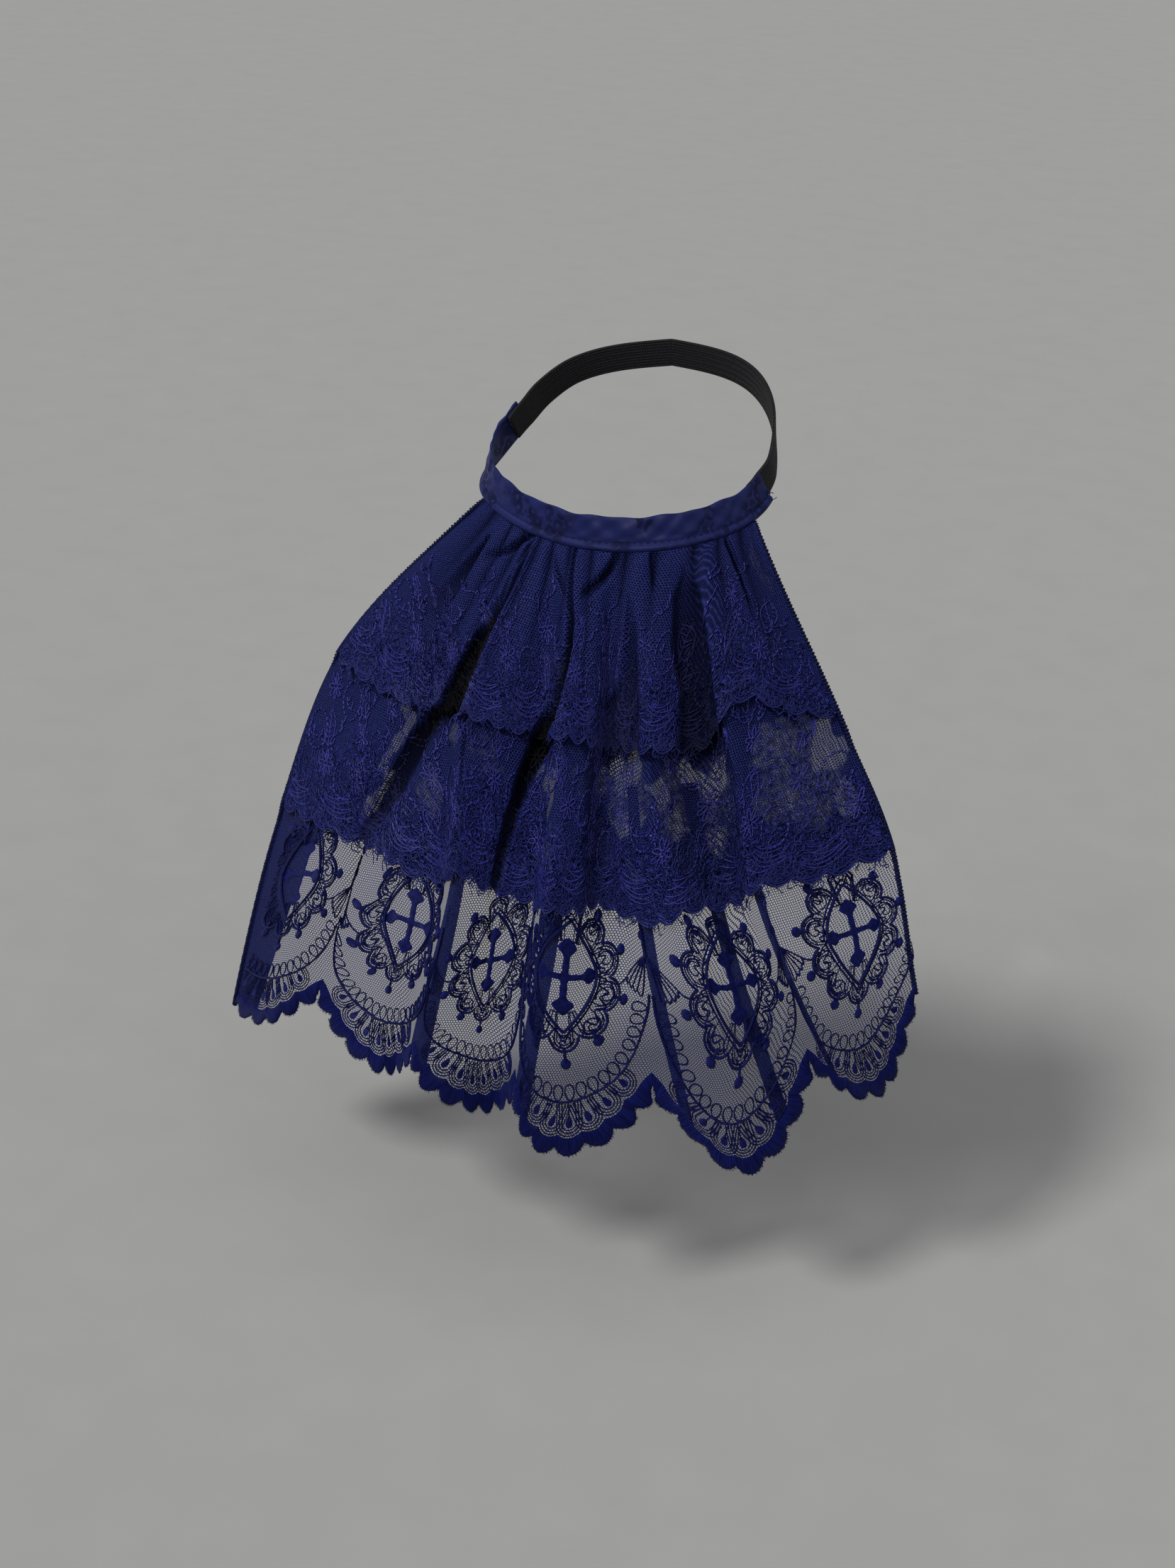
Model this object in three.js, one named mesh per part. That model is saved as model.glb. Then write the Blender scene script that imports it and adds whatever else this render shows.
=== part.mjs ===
// Lace bib collar: a satin neckband closed by an elastic, with three gathered tiers of lace below it.
// Millimetres, +Z up. The origin is the centre of the neck opening, the bib hangs down on the -Y side.
import * as THREE from 'three';

// Driving dimensions
const neckHalfWidth = 60;        // the neck ring, half its width and half its depth
const neckHalfDepth = 56.7;
const bandHeight = 13.5;
const bandWall = 1.6;
const beadWall = 2.6;            // the folded bead along the band's lower edge
const bandEnds = [-112, 84];     // degrees round the neck, 0 at the front
const elasticHeight = 11;
const elasticWall = 1.2;
const lapAngle = 8;              // degrees that the elastic runs inside each end of the band
const lapRelease = 12;           // degrees past the band in which it comes into line with it
const lapGap = 0.4;              // clearance between the band and the elastic inside it
const seamGap = 0.5;             // clearance round the edges of the lace

const clothWall = 1.0;
const plyPitch = 1.45;           // middle of one tier to the middle of the next
const tierLength = [76, 145, 226];
const sideDroop = [18, 11, 0];   // how much longer each tier hangs at its two sides
const laceWidth = 439;           // along the lace before it is gathered
const standOff = [2.0, 1.5];     // how far the upper two hems stand off the tier below
const scallopWidth = 76;         // large scallops of the bottom hem
const scallopDepth = 24;
const firstScallop = -17;        // the first large scallop is cut by the side edge
const lobesPerScallop = 7;
const lobeDepth = 2.8;
const smallScallops = 31;        // scallops of the two upper hems
const smallDepth = 3.5;
const edgeCordRadius = 1.1;

// How the cloth lies: smoothing along the lace, and how fast folds open below the band
const smoothHem = 5;
const smoothNeck = 8;
const foldOpening = 45;
const neckSettling = 22;
const neckRelease = 8;           // the plies lie along the band's thickness down to here
const neckBlur = 40;             // the smoothing of the folds narrows over this distance
const sideMeet = 25;             // the hems come together over this width at each side
const plyRelease = 12;           // a side edge thins over this distance past each hem

// Shape of the neck ring: height of its middle line, and how far the band leans in at the top
const neckTable = [
  { angle: -180, height: 30, lean: 4 },
  { angle: -140, height: 21, lean: 0 },
  { angle: -115, height: 7, lean: -8 },
  { angle: -95, height: -3, lean: -6 },
  { angle: -78, height: -7, lean: 10 },
  { angle: -54, height: -8, lean: 17 },
  { angle: 0, height: -12, lean: 7 },
  { angle: 54, height: -7.5, lean: 17 },
  { angle: 82, height: -2, lean: 19 },
  { angle: 98, height: 5, lean: 12 },
  { angle: 116, height: 19, lean: 6 },
  { angle: 142, height: 28, lean: 4 },
  { angle: 180, height: 30, lean: 4 },
];

// Shape that the bib lies on: forward reach and side roundness, at heights below the origin
const chestTable = [
  { down: -40, reach: 44, round: 66 },
  { down: -10, reach: 56, round: 82 },
  { down: 28, reach: 66, round: 96 },
  { down: 60, reach: 80, round: 110 },
  { down: 100, reach: 98, round: 137 },
  { down: 140, reach: 114, round: 160 },
  { down: 180, reach: 125, round: 180 },
  { down: 220, reach: 131, round: 198 },
  { down: 260, reach: 134, round: 213 },
  { down: 300, reach: 135, round: 222 },
  { down: 360, reach: 135, round: 230 },
];

// One row for each fold line, left to right across the front.
// lace: place along the flat lace. neck: angle on the band. top, mid, hem: sideways place at the
// three hems. lift: how far the line stands off the chest. fall: length from the band to the hem.
const foldTable = [
  { lace: 0, neck: -54, top: -111, mid: -130, hem: -149, lift: 1, fall: 260 },
  { lace: 34, neck: -43, top: -80, mid: -101, hem: -117, lift: 8, fall: 232 },
  { lace: 59, neck: -33, top: -59, mid: -79, hem: -98, lift: 1, fall: 226 },
  { lace: 99, neck: -27, top: -50, mid: -59, hem: -61, lift: 3, fall: 219 },
  { lace: 120, neck: -24, top: -42, mid: -38, hem: -50, lift: 2, fall: 222 },
  { lace: 136, neck: -21, top: -36, mid: -29, hem: -40, lift: 20, fall: 226 },
  { lace: 168, neck: -14, top: -18, mid: -15, hem: -17, lift: 7, fall: 218 },
  { lace: 201, neck: -9, top: 0, mid: 5, hem: -1, lift: 2, fall: 224 },
  { lace: 215, neck: -6, top: 6, mid: 12, hem: 8, lift: 20, fall: 230 },
  { lace: 241, neck: 3, top: 17, mid: 24, hem: 24, lift: 16, fall: 230 },
  { lace: 287, neck: 14, top: 26, mid: 38, hem: 59, lift: 2, fall: 224 },
  { lace: 322, neck: 25, top: 40, mid: 64, hem: 93, lift: 14, fall: 242 },
  { lace: 361, neck: 38, top: 60, mid: 84, hem: 117, lift: 2, fall: 224 },
  { lace: 376, neck: 44, top: 69, mid: 91, hem: 125, lift: 18, fall: 222 },
  { lace: 404, neck: 54, top: 86, mid: 110, hem: 139, lift: 7, fall: 220 },
  { lace: 439, neck: 68, top: 108, mid: 136, hem: 154, lift: 1, fall: 212 },
];

// How much higher than their even length the two upper hems hang, by place along the lace
const hemLiftTable = [
  { lace: 0, top: 0, mid: 0 },
  { lace: 75, top: 0, mid: 0 },
  { lace: 104, top: 0, mid: -5 },
  { lace: 120, top: 0, mid: -3 },
  { lace: 145, top: 0, mid: 4 },
  { lace: 168, top: 0, mid: 0 },
  { lace: 228, top: 0, mid: 1 },
  { lace: 268, top: 0, mid: 4 },
  { lace: 304, top: 0, mid: 0 },
  { lace: 330, top: 0, mid: 7 },
  { lace: 350, top: 0, mid: 3 },
  { lace: 365, top: 2, mid: 3 },
  { lace: 379, top: 12, mid: 6 },
  { lace: 393, top: 18, mid: 7 },
  { lace: 409, top: 14, mid: 5 },
  { lace: 439, top: 6, mid: 3 },
];

// Mesh density
const columnsPerLobe = 3;
const sharedRows = [0, 10, 26, 52, 88, 125, 165, 205];   // distances below the band
const rowsPerTier = [4, 6, 8];                           // how many of them each tier uses
const bandSteps = 50;
const elasticSteps = 32;
const cordSides = 8;
const lineStep = 4;
const lineCount = 70;

const satin = new THREE.MeshStandardMaterial({ color: 0x1a2160, roughness: 0.55, metalness: 0 });
const lace = new THREE.MeshStandardMaterial({ color: 0x222c78, roughness: 0.8, metalness: 0 });
const boundEdge = new THREE.MeshStandardMaterial({ color: 0x141a4c, roughness: 0.85, metalness: 0 });
const elastic = new THREE.MeshStandardMaterial({ color: 0x0b0b10, roughness: 0.9, metalness: 0 });

// Smooth value of one column of a table at x, through its rows
function smoothValue(table, key, x, column) {
  let i = 0;
  while (i < table.length - 2 && x > table[i + 1][key]) i += 1;
  const before = table[Math.max(i - 1, 0)];
  const from = table[i];
  const to = table[i + 1];
  const after = table[Math.min(i + 2, table.length - 1)];
  const span = to[key] - from[key];
  const u = Math.min(Math.max((x - from[key]) / span, 0), 1);
  const slopeFrom = (to[column] - before[column]) / (to[key] - before[key]);
  const slopeTo = (after[column] - from[column]) / (after[key] - from[key]);
  return hermite(from[column], to[column], slopeFrom * span, slopeTo * span, u);
}

function hermite(a, b, slopeA, slopeB, u) {
  const v = 1 - u;
  return (1 + 2 * u) * v * v * a + u * v * v * slopeA + u * u * (3 - 2 * u) * b - u * u * v * slopeB;
}

// Neck ring
function ringCentre(degrees) {
  const wrapped = ((degrees + 540) % 360) - 180;
  const a = THREE.MathUtils.degToRad(wrapped);
  const height = smoothValue(neckTable, 'angle', wrapped, 'height');
  return new THREE.Vector3(neckHalfWidth * Math.sin(a), -neckHalfDepth * Math.cos(a), height);
}

// A point on the band: up along its height, out along its thickness
function ringPoint(degrees, up, out) {
  const along = ringCentre(degrees + 1).sub(ringCentre(degrees - 1)).normalize();
  const wrapped = ((degrees + 540) % 360) - 180;
  const lean = THREE.MathUtils.degToRad(smoothValue(neckTable, 'angle', wrapped, 'lean'));
  const outward = along.clone().cross(new THREE.Vector3(0, 0, 1)).normalize();
  const upright = outward.clone().cross(along).normalize();
  const bandUp = upright.clone().multiplyScalar(Math.cos(lean)).addScaledVector(outward, -Math.sin(lean));
  const bandOut = outward.multiplyScalar(Math.cos(lean)).addScaledVector(upright, Math.sin(lean));
  return ringCentre(degrees).addScaledVector(bandUp, up).addScaledVector(bandOut, out);
}

// The chest surface: y for a sideways place and a height
function chest(x, z) {
  const reach = smoothValue(chestTable, 'down', -z, 'reach');
  const round = smoothValue(chestTable, 'down', -z, 'round');
  return -reach + x * x / (2 * round);
}

// Distance from the band to each hem, before its scallops
function hemDistance(tier, lacePlace) {
  const extra = smoothValue(foldTable, 'lace', lacePlace, 'fall') - tierLength[2];
  const share = (tierLength[tier] / tierLength[2]) ** 2;
  const side = Math.abs(2 * lacePlace / laceWidth - 1) ** 4;
  return tierLength[tier] + extra * share + sideDroop[tier] * side;
}

// The line that the cloth follows down from the band at one row of the fold table
function fallLine(row) {
  const start = ringPoint(row.neck, -bandHeight / 2 - seamGap, 0);
  const stations = [
    { down: 0, across: start.x },
    { down: hemDistance(0, row.lace), across: row.top },
    { down: hemDistance(1, row.lace), across: row.mid },
    { down: hemDistance(2, row.lace), across: row.hem },
  ];
  const slope = (row.hem - row.mid) / (stations[3].down - stations[2].down);
  const startOff = start.y - chest(start.x, start.z);
  const line = [start];
  for (let i = 1; i <= lineCount; i += 1) {
    const down = i * lineStep;
    const past = down - stations[3].down;
    const x = past > 0 ? row.hem + slope * past : smoothValue(stations, 'down', down, 'across');
    const off = startOff * Math.exp(-down / neckSettling) - row.lift * (1 - Math.exp(-down / foldOpening));
    const last = line[i - 1];
    let z = last.z - lineStep;
    for (let turn = 0; turn < 6; turn += 1) {
      const y = chest(x, z) + off;
      const left = lineStep ** 2 - (x - last.x) ** 2 - (y - last.y) ** 2;
      z = last.z - Math.sqrt(Math.max(left, 0.2));
    }
    line.push(new THREE.Vector3(x, chest(x, z) + off, z));
  }
  return line;
}

const fallLines = foldTable.map(fallLine);

function onLine(index, down) {
  const place = Math.min(down / lineStep, lineCount - 1e-6);
  const i = Math.floor(place);
  return fallLines[index][i].clone().lerp(fallLines[index][i + 1], place - i);
}

// The folded cloth before it is smoothed: a curve through the fold lines
function creased(lacePlace, down) {
  let i = 0;
  while (i < foldTable.length - 2 && lacePlace > foldTable[i + 1].lace) i += 1;
  const near = [Math.max(i - 1, 0), i, i + 1, Math.min(i + 2, foldTable.length - 1)];
  const [before, from, to, after] = near.map((k) => onLine(k, down));
  const at = near.map((k) => foldTable[k].lace);
  const span = at[2] - at[1];
  const slopeFrom = to.clone().sub(before).multiplyScalar(span / (at[2] - at[0]));
  const slopeTo = after.clone().sub(from).multiplyScalar(span / (at[3] - at[1]));
  const u = (lacePlace - at[1]) / span;
  const point = new THREE.Vector3();
  for (const axis of ['x', 'y', 'z']) {
    point[axis] = hermite(from[axis], to[axis], slopeFrom[axis], slopeTo[axis], u);
  }
  return point;
}

// The folded cloth: the creased surface averaged along the lace, so that no fold is too sharp
const taps = Array.from({ length: 9 }, (_, i) => -2 + i * 0.5);
const tapWeights = taps.map((t) => Math.exp(-t * t / 2));
const tapSum = tapWeights.reduce((a, b) => a + b);

function folded(lacePlace, down) {
  const width = smoothHem + smoothNeck * Math.exp(-down / neckBlur);
  const point = new THREE.Vector3();
  taps.forEach((tap, i) => {
    const place = lacePlace + tap * width;
    const inside = Math.abs(place) > laceWidth ? 2 * laceWidth - place : Math.abs(place);
    let sample = creased(inside, down);
    if (inside !== place) {
      const side = creased(place < 0 ? 0 : laceWidth, down);
      sample = side.multiplyScalar(2).sub(sample);
    }
    point.addScaledVector(sample, tapWeights[i] / tapSum);
  });
  return point;
}

function smoothStep(x) {
  const u = Math.min(Math.max(x, 0), 1);
  return u * u * (3 - 2 * u);
}

// Outward direction of the folded cloth, which starts as that of the band at its top edge
function outwardAt(lacePlace, down) {
  const across = folded(lacePlace + 0.4, down).sub(folded(lacePlace - 0.4, down));
  const along = folded(lacePlace, down + 1).sub(folded(lacePlace, Math.max(down - 1, 0)));
  const outward = along.cross(across).normalize();
  const neckAngle = smoothValue(foldTable, 'lace', lacePlace, 'neck');
  const bandOut = ringPoint(neckAngle, 0, 1).sub(ringPoint(neckAngle, 0, 0));
  return bandOut.lerp(outward, smoothStep(down / neckRelease)).normalize();
}

// A point of one tier. through: -0.5 on its inner face, 0.5 on its outer face.
function tierPoint(tier, lacePlace, down, through) {
  const point = folded(lacePlace, down);
  const offset = (1 - tier) * plyPitch + through * clothWall;
  point.addScaledVector(outwardAt(lacePlace, down), offset);
  const side = smoothStep(Math.min(lacePlace, laceWidth - lacePlace) / sideMeet);
  for (let below = tier; below < 2; below += 1) {
    point.y -= side * standOff[below] * (down / tierLength[below]) ** 2;
  }
  return point;
}

// Outline of the hems, added to their distance below the band
function bigScallop(lacePlace) {
  const place = ((lacePlace - firstScallop) / scallopWidth) % 1;
  const lobe = (place * lobesPerScallop) % 1;
  const arch = 1 - Math.abs(2 * place - 1) ** 1.8;
  return scallopDepth * arch + lobeDepth * Math.sin(Math.PI * lobe);
}

function smallScallop(lacePlace) {
  const place = (lacePlace * smallScallops / laceWidth) % 1;
  return smallDepth * Math.sin(Math.PI * place);
}

function hemOf(tier, lacePlace) {
  if (tier === 2) return hemDistance(2, lacePlace) + bigScallop(lacePlace);
  const lift = smoothValue(hemLiftTable, 'lace', lacePlace, tier === 0 ? 'top' : 'mid');
  return hemDistance(tier, lacePlace) + smallScallop(lacePlace) - lift;
}

// A closed solid from an inner and an outer grid of points, rows of columns
function slab(outer, inner) {
  const rows = outer.length;
  const columns = outer[0].length;
  const positions = [];
  for (const grid of [outer, inner]) {
    for (const row of grid) {
      for (const point of row) positions.push(point.x, point.y, point.z);
    }
  }
  const at = (side, r, c) => side * rows * columns + r * columns + c;
  const faces = [];
  const quad = (a, b, c, d) => faces.push(a, b, c, a, c, d);
  for (let r = 0; r < rows - 1; r += 1) {
    for (let c = 0; c < columns - 1; c += 1) {
      quad(at(0, r, c), at(0, r + 1, c), at(0, r + 1, c + 1), at(0, r, c + 1));
      quad(at(1, r, c), at(1, r, c + 1), at(1, r + 1, c + 1), at(1, r + 1, c));
    }
    quad(at(0, r, 0), at(1, r, 0), at(1, r + 1, 0), at(0, r + 1, 0));
    const end = columns - 1;
    quad(at(0, r, end), at(0, r + 1, end), at(1, r + 1, end), at(1, r, end));
  }
  for (let c = 0; c < columns - 1; c += 1) {
    quad(at(0, 0, c), at(0, 0, c + 1), at(1, 0, c + 1), at(1, 0, c));
    const low = rows - 1;
    quad(at(0, low, c), at(1, low, c), at(1, low, c + 1), at(0, low, c + 1));
  }
  return meshGeometry(positions, faces);
}

// A closed solid from loops of points, one after the other, with flat ends
function lofted(loops) {
  const count = loops[0].length;
  const positions = [];
  for (const loop of loops) {
    for (const point of loop) positions.push(point.x, point.y, point.z);
  }
  const faces = [];
  for (let i = 0; i < loops.length - 1; i += 1) {
    for (let j = 0; j < count; j += 1) {
      const a = i * count + j;
      const b = i * count + (j + 1) % count;
      faces.push(a, b, b + count, a, b + count, a + count);
    }
  }
  const last = (loops.length - 1) * count;
  for (let j = 1; j < count - 1; j += 1) {
    faces.push(0, j + 1, j);
    faces.push(last, last + j, last + j + 1);
  }
  return meshGeometry(positions, faces);
}

function meshGeometry(positions, faces) {
  const geometry = new THREE.BufferGeometry();
  geometry.setAttribute('position', new THREE.Float32BufferAttribute(positions, 3));
  geometry.setIndex(faces);
  geometry.computeVertexNormals();
  return geometry;
}

function piece(name, geometry, material) {
  const mesh = new THREE.Mesh(geometry, material);
  mesh.name = name;
  return mesh;
}

// Section of the band as up and out: a flat strip, thinner at the top, with a bead at its lower edge
function bandSection() {
  const top = bandHeight / 2;
  const half = bandWall / 2;
  const bead = beadWall - bandWall;
  return [
    [top, half * 0.6],
    [-top + 3.0, half],
    [-top + 2.4, half + bead * 0.5],
    [-top + 1.4, half + bead],
    [-top + 0.5, half + bead * 0.7],
    [-top, 0],
    [-top + 0.4, -half],
    [top, -half * 0.6],
  ];
}

function buildNeckband() {
  const loops = [];
  for (let i = 0; i <= bandSteps; i += 1) {
    const angle = THREE.MathUtils.lerp(bandEnds[0], bandEnds[1], i / bandSteps);
    loops.push(bandSection().map(([up, out]) => ringPoint(angle, up, out)));
  }
  return piece('neckband', lofted(loops), satin);
}

// The elastic lies inside the band at both ends and in line with it round the back
function buildElastic() {
  const first = bandEnds[1] - lapAngle;
  const last = bandEnds[0] + lapAngle + 360;
  const tucked = -(bandWall + elasticWall) / 2 - lapGap;
  const loops = [];
  for (let i = 0; i <= elasticSteps; i += 1) {
    const angle = THREE.MathUtils.lerp(first, last, i / elasticSteps);
    const fromEnd = Math.min(angle - first, last - angle) - lapAngle;
    const centre = tucked * (1 - smoothStep(fromEnd / lapRelease));
    const top = elasticHeight / 2;
    const half = elasticWall / 2;
    const section = [[top, half], [-top, half], [-top, -half], [top, -half]];
    loops.push(section.map(([up, out]) => ringPoint(angle, up, out + centre)));
  }
  return piece('elastic_strap', lofted(loops), elastic);
}

// Places along the lace of the mesh columns, a few in each lobe of the bottom hem
function columnPlaces() {
  const step = scallopWidth / lobesPerScallop / columnsPerLobe;
  const places = [0];
  for (let place = firstScallop; place < laceWidth - step / 3; place += step) {
    if (place > step / 3) places.push(place);
  }
  places.push(laceWidth);
  return places;
}

function buildTier(tier, name) {
  const places = columnPlaces();
  const rows = sharedRows.slice(0, rowsPerTier[tier]);
  const grid = (through) => {
    const points = rows.map((down) => places.map((s) => tierPoint(tier, s, down, through)));
    points.push(places.map((s) => tierPoint(tier, s, hemOf(tier, s), through)));
    return points;
  };
  return piece(name, slab(grid(0.5), grid(-0.5)), lace);
}

// The bound edge down one side: a flattened cord that spans the plies it meets
function buildEdge(side, name) {
  const lacePlace = side < 0 ? 0 : laceWidth;
  const hems = [0, 1, 2].map((tier) => hemOf(tier, lacePlace));
  const rows = [...sharedRows, ...hems].sort((a, b) => a - b);
  const loops = [];
  for (const down of rows) {
    const pastTop = smoothStep((down - hemDistance(0, lacePlace)) / plyRelease);
    const pastMiddle = smoothStep((down - hemDistance(1, lacePlace)) / plyRelease);
    const plies = 3 - pastTop - pastMiddle;
    const reach = Math.max(edgeCordRadius, ((plies - 1) * plyPitch + clothWall) / 2 + 0.1);
    const outward = outwardAt(lacePlace, down);
    const across = folded(lacePlace + 1, down).sub(folded(lacePlace - 1, down)).normalize();
    const middle = folded(lacePlace, down);
    middle.addScaledVector(across, side * (seamGap + edgeCordRadius));
    middle.addScaledVector(outward, -(3 - plies) * plyPitch / 2);
    const loop = [];
    for (let j = 0; j < cordSides; j += 1) {
      const turn = 2 * Math.PI * j / cordSides;
      const point = middle.clone();
      point.addScaledVector(across, edgeCordRadius * Math.cos(turn));
      point.addScaledVector(outward, reach * Math.sin(turn));
      loop.push(point);
    }
    loops.push(loop);
  }
  return piece(name, lofted(loops), boundEdge);
}

const collar = new THREE.Group();
collar.add(buildNeckband());
collar.add(buildElastic());
collar.add(buildTier(0, 'top_tier'));
collar.add(buildTier(1, 'middle_tier'));
collar.add(buildTier(2, 'bottom_tier'));
collar.add(buildEdge(-1, 'left_edge'));
collar.add(buildEdge(1, 'right_edge'));

export default collar;
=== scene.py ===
# %% [markdown]
# # A lace bib collar
#
# The collar is a narrow satin neckband, closed behind by an elastic, with three tiers of lace
# gathered onto it. The CAD part gives its folds as plain closed walls. Here each wall is replaced
# by what the cloth really is: a see-through net, raised embroidery, satin, thread and elastic.
#
# One idea carries the whole script. Lace is made flat and only then gathered, so every ornament
# is drawn flat, in millimetres, and one function lays it on the folded cloth. A cord that is
# straight in the drawing then follows every fold, as the real one does.

import math

import bmesh
import bpy
import numpy as np
from mathutils import Matrix, Vector


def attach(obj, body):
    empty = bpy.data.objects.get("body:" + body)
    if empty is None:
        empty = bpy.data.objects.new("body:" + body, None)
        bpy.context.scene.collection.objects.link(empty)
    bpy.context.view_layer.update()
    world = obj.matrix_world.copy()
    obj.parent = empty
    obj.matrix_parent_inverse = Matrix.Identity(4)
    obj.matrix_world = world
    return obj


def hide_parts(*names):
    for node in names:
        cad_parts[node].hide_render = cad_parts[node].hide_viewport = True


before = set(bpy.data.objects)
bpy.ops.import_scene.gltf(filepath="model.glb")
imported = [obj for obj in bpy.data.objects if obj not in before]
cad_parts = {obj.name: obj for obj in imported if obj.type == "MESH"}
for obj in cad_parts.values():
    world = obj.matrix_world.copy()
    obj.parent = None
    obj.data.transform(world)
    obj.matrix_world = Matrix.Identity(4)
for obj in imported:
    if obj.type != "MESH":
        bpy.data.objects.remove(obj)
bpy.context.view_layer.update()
MM = 0.001
rng = np.random.default_rng(7)
print("nodes:", sorted(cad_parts))

# %% [markdown]
# ## The camera
#
# The picture was taken from slightly above and from the wearer's left, with the camera held a
# little askew. A camera matrix made from those three angles is plainer than an aim and a roll
# that must be tuned against each other. It is made first, so that every later step can be
# judged through it.

# %% The camera
AZIMUTH, ELEVATION, ROLL = (math.radians(a) for a in (17.0, 27.6, 2.5))
CAMERA_PLACE = Vector((0.2632, -0.9013, 0.3361))
LENS, SENSOR = 54.06, 36.0


def show(name, data):
    """Puts a mesh, a light or a camera into the scene."""
    made = bpy.data.objects.new(name, data)
    bpy.context.scene.collection.objects.link(made)
    return made


def make_camera():
    back = Vector((math.sin(AZIMUTH) * math.cos(ELEVATION),
                   -math.cos(AZIMUTH) * math.cos(ELEVATION),
                   math.sin(ELEVATION)))
    level = Vector((math.cos(AZIMUTH), math.sin(AZIMUTH), 0))
    above = back.cross(level)
    right = level * math.cos(ROLL) + above * math.sin(ROLL)
    up = above * math.cos(ROLL) - level * math.sin(ROLL)
    data = bpy.data.cameras.new("camera")
    data.lens, data.sensor_width = LENS, SENSOR
    camera = show("camera", data)
    turn = Matrix((right, up, back)).transposed().to_4x4()
    camera.matrix_world = Matrix.Translation(CAMERA_PLACE) @ turn
    bpy.context.scene.camera = camera
    return camera


camera = make_camera()
print("camera at", tuple(round(v, 3) for v in camera.location))

# %% [markdown]
# ## The sizes
#
# They are the CAD source's own, in millimetres, so the fine cloth lands exactly on the plain
# walls that it replaces. Each row of FOLDS is one line that the cloth follows down from the band:
# where it is on the flat lace, where it hangs at the three hems, and how far it stands out.

# %% Sizes shared with the CAD source
NECK_HALF_WIDTH, NECK_HALF_DEPTH = 60.0, 56.7
BAND_HEIGHT, BAND_WALL = 13.5, 1.6
BAND_ENDS = (-112.0, 84.0)
ELASTIC_WALL = 1.2
LAP_ANGLE, LAP_RELEASE, LAP_GAP = 8.0, 12.0, 0.4
SEAM_GAP = 0.5
PLY_PITCH = 1.45
TIER_LENGTH = (76.0, 145.0, 226.0)
SIDE_DROOP = (18.0, 11.0, 0.0)
LACE_WIDTH = 439.0
STAND_OFF = (2.0, 1.5)
SCALLOP_WIDTH, SCALLOP_DEPTH, FIRST_SCALLOP = 76.0, 24.0, -17.0
LOBES, LOBE_DEPTH, ARCH_POWER = 7, 2.8, 2.1
SMALL_SCALLOPS, SMALL_DEPTH = 31, 3.5
EDGE_CORD = 1.1
HEM_TIP = (SMALL_DEPTH, SMALL_DEPTH, SCALLOP_DEPTH + LOBE_DEPTH)

# angle, height, lean
NECK = np.array([
    (-180, 30, 4), (-140, 21, 0), (-115, 7, -8), (-95, -3, -6), (-78, -7, 10),
    (-54, -8, 17), (0, -12, 7), (54, -7.5, 17), (82, -2, 19), (98, 5, 12),
    (116, 19, 6), (142, 28, 4), (180, 30, 4),
], float)

# down, forward reach, side roundness
CHEST = np.array([
    (-40, 44, 66), (-10, 56, 82), (28, 66, 96), (60, 80, 110), (100, 98, 137),
    (140, 114, 160), (180, 125, 180), (220, 131, 198), (260, 134, 213),
    (300, 135, 222), (360, 135, 230),
], float)

# lace, neck angle, top hem, middle hem, bottom hem, lift, fall
FOLDS = np.array([
    (0, -54, -111, -130, -149, 1, 260),
    (34, -43, -80, -101, -117, 8, 232),
    (59, -33, -59, -79, -98, 1, 226),
    (99, -27, -50, -59, -61, 3, 219),
    (120, -24, -42, -38, -50, 2, 222),
    (136, -21, -36, -29, -40, 20, 226),
    (168, -14, -18, -15, -17, 7, 218),
    (201, -9, 0, 5, -1, 2, 224),
    (215, -6, 6, 12, 8, 20, 230),
    (241, 3, 17, 24, 24, 16, 230),
    (287, 14, 26, 38, 59, 2, 224),
    (322, 25, 40, 64, 93, 14, 242),
    (361, 38, 60, 84, 117, 2, 224),
    (376, 44, 69, 91, 125, 18, 222),
    (404, 54, 86, 110, 139, 7, 220),
    (439, 68, 108, 136, 154, 1, 212),
], float)

# lace, how much higher the top and the middle hem hang than their even length
HEM_LIFT = np.array([
    (0, 0, 0), (75, 0, 0), (104, 0, -5), (120, 0, -3), (145, 0, 4), (168, 0, 0), (228, 0, 1),
    (268, 0, 4), (304, 0, 0), (330, 0, 7), (350, 0, 3), (365, 2, 3), (379, 12, 6), (393, 18, 7),
    (409, 14, 5), (439, 6, 3),
], float)
print("the lace is", LACE_WIDTH, "mm wide before it is gathered")

# %% [markdown]
# ## The shape of the cloth
#
# These functions repeat the CAD ones on whole arrays. A physical simulation would give folds too,
# but never the photographed ones, so the folds are measured and the cloth is only smoothed
# between them. The result is kept on a grid of one millimetre, because a look-up is fast enough
# for half a million points of embroidery.


# %% Curves through tables
def hermite(a, b, slope_a, slope_b, u):
    """Smooth step from a to b with the given slopes at its two ends."""
    v = 1 - u
    first = (1 + 2 * u) * v * v * a + u * v * v * slope_a
    return first + u * u * (3 - 2 * u) * b - u * u * v * slope_b


def neighbours(key, x):
    """Rows of a table round the places x: before, from, to and after."""
    i = np.clip(np.searchsorted(key, x) - 1, 0, len(key) - 2)
    return np.maximum(i - 1, 0), i, i + 1, np.minimum(i + 2, len(key) - 1)


def smooth_value(table, x, column):
    """Smooth value of one column of a table at x. Column 0 is the key."""
    key, value = table[:, 0], table[:, column]
    o, i, j, k = neighbours(key, x)
    span = key[j] - key[i]
    slope_a = (value[j] - value[o]) / (key[j] - key[o])
    slope_b = (value[k] - value[i]) / (key[k] - key[i])
    u = np.clip((x - key[i]) / span, 0, 1)
    return hermite(value[i], value[j], slope_a * span, slope_b * span, u)


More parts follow.
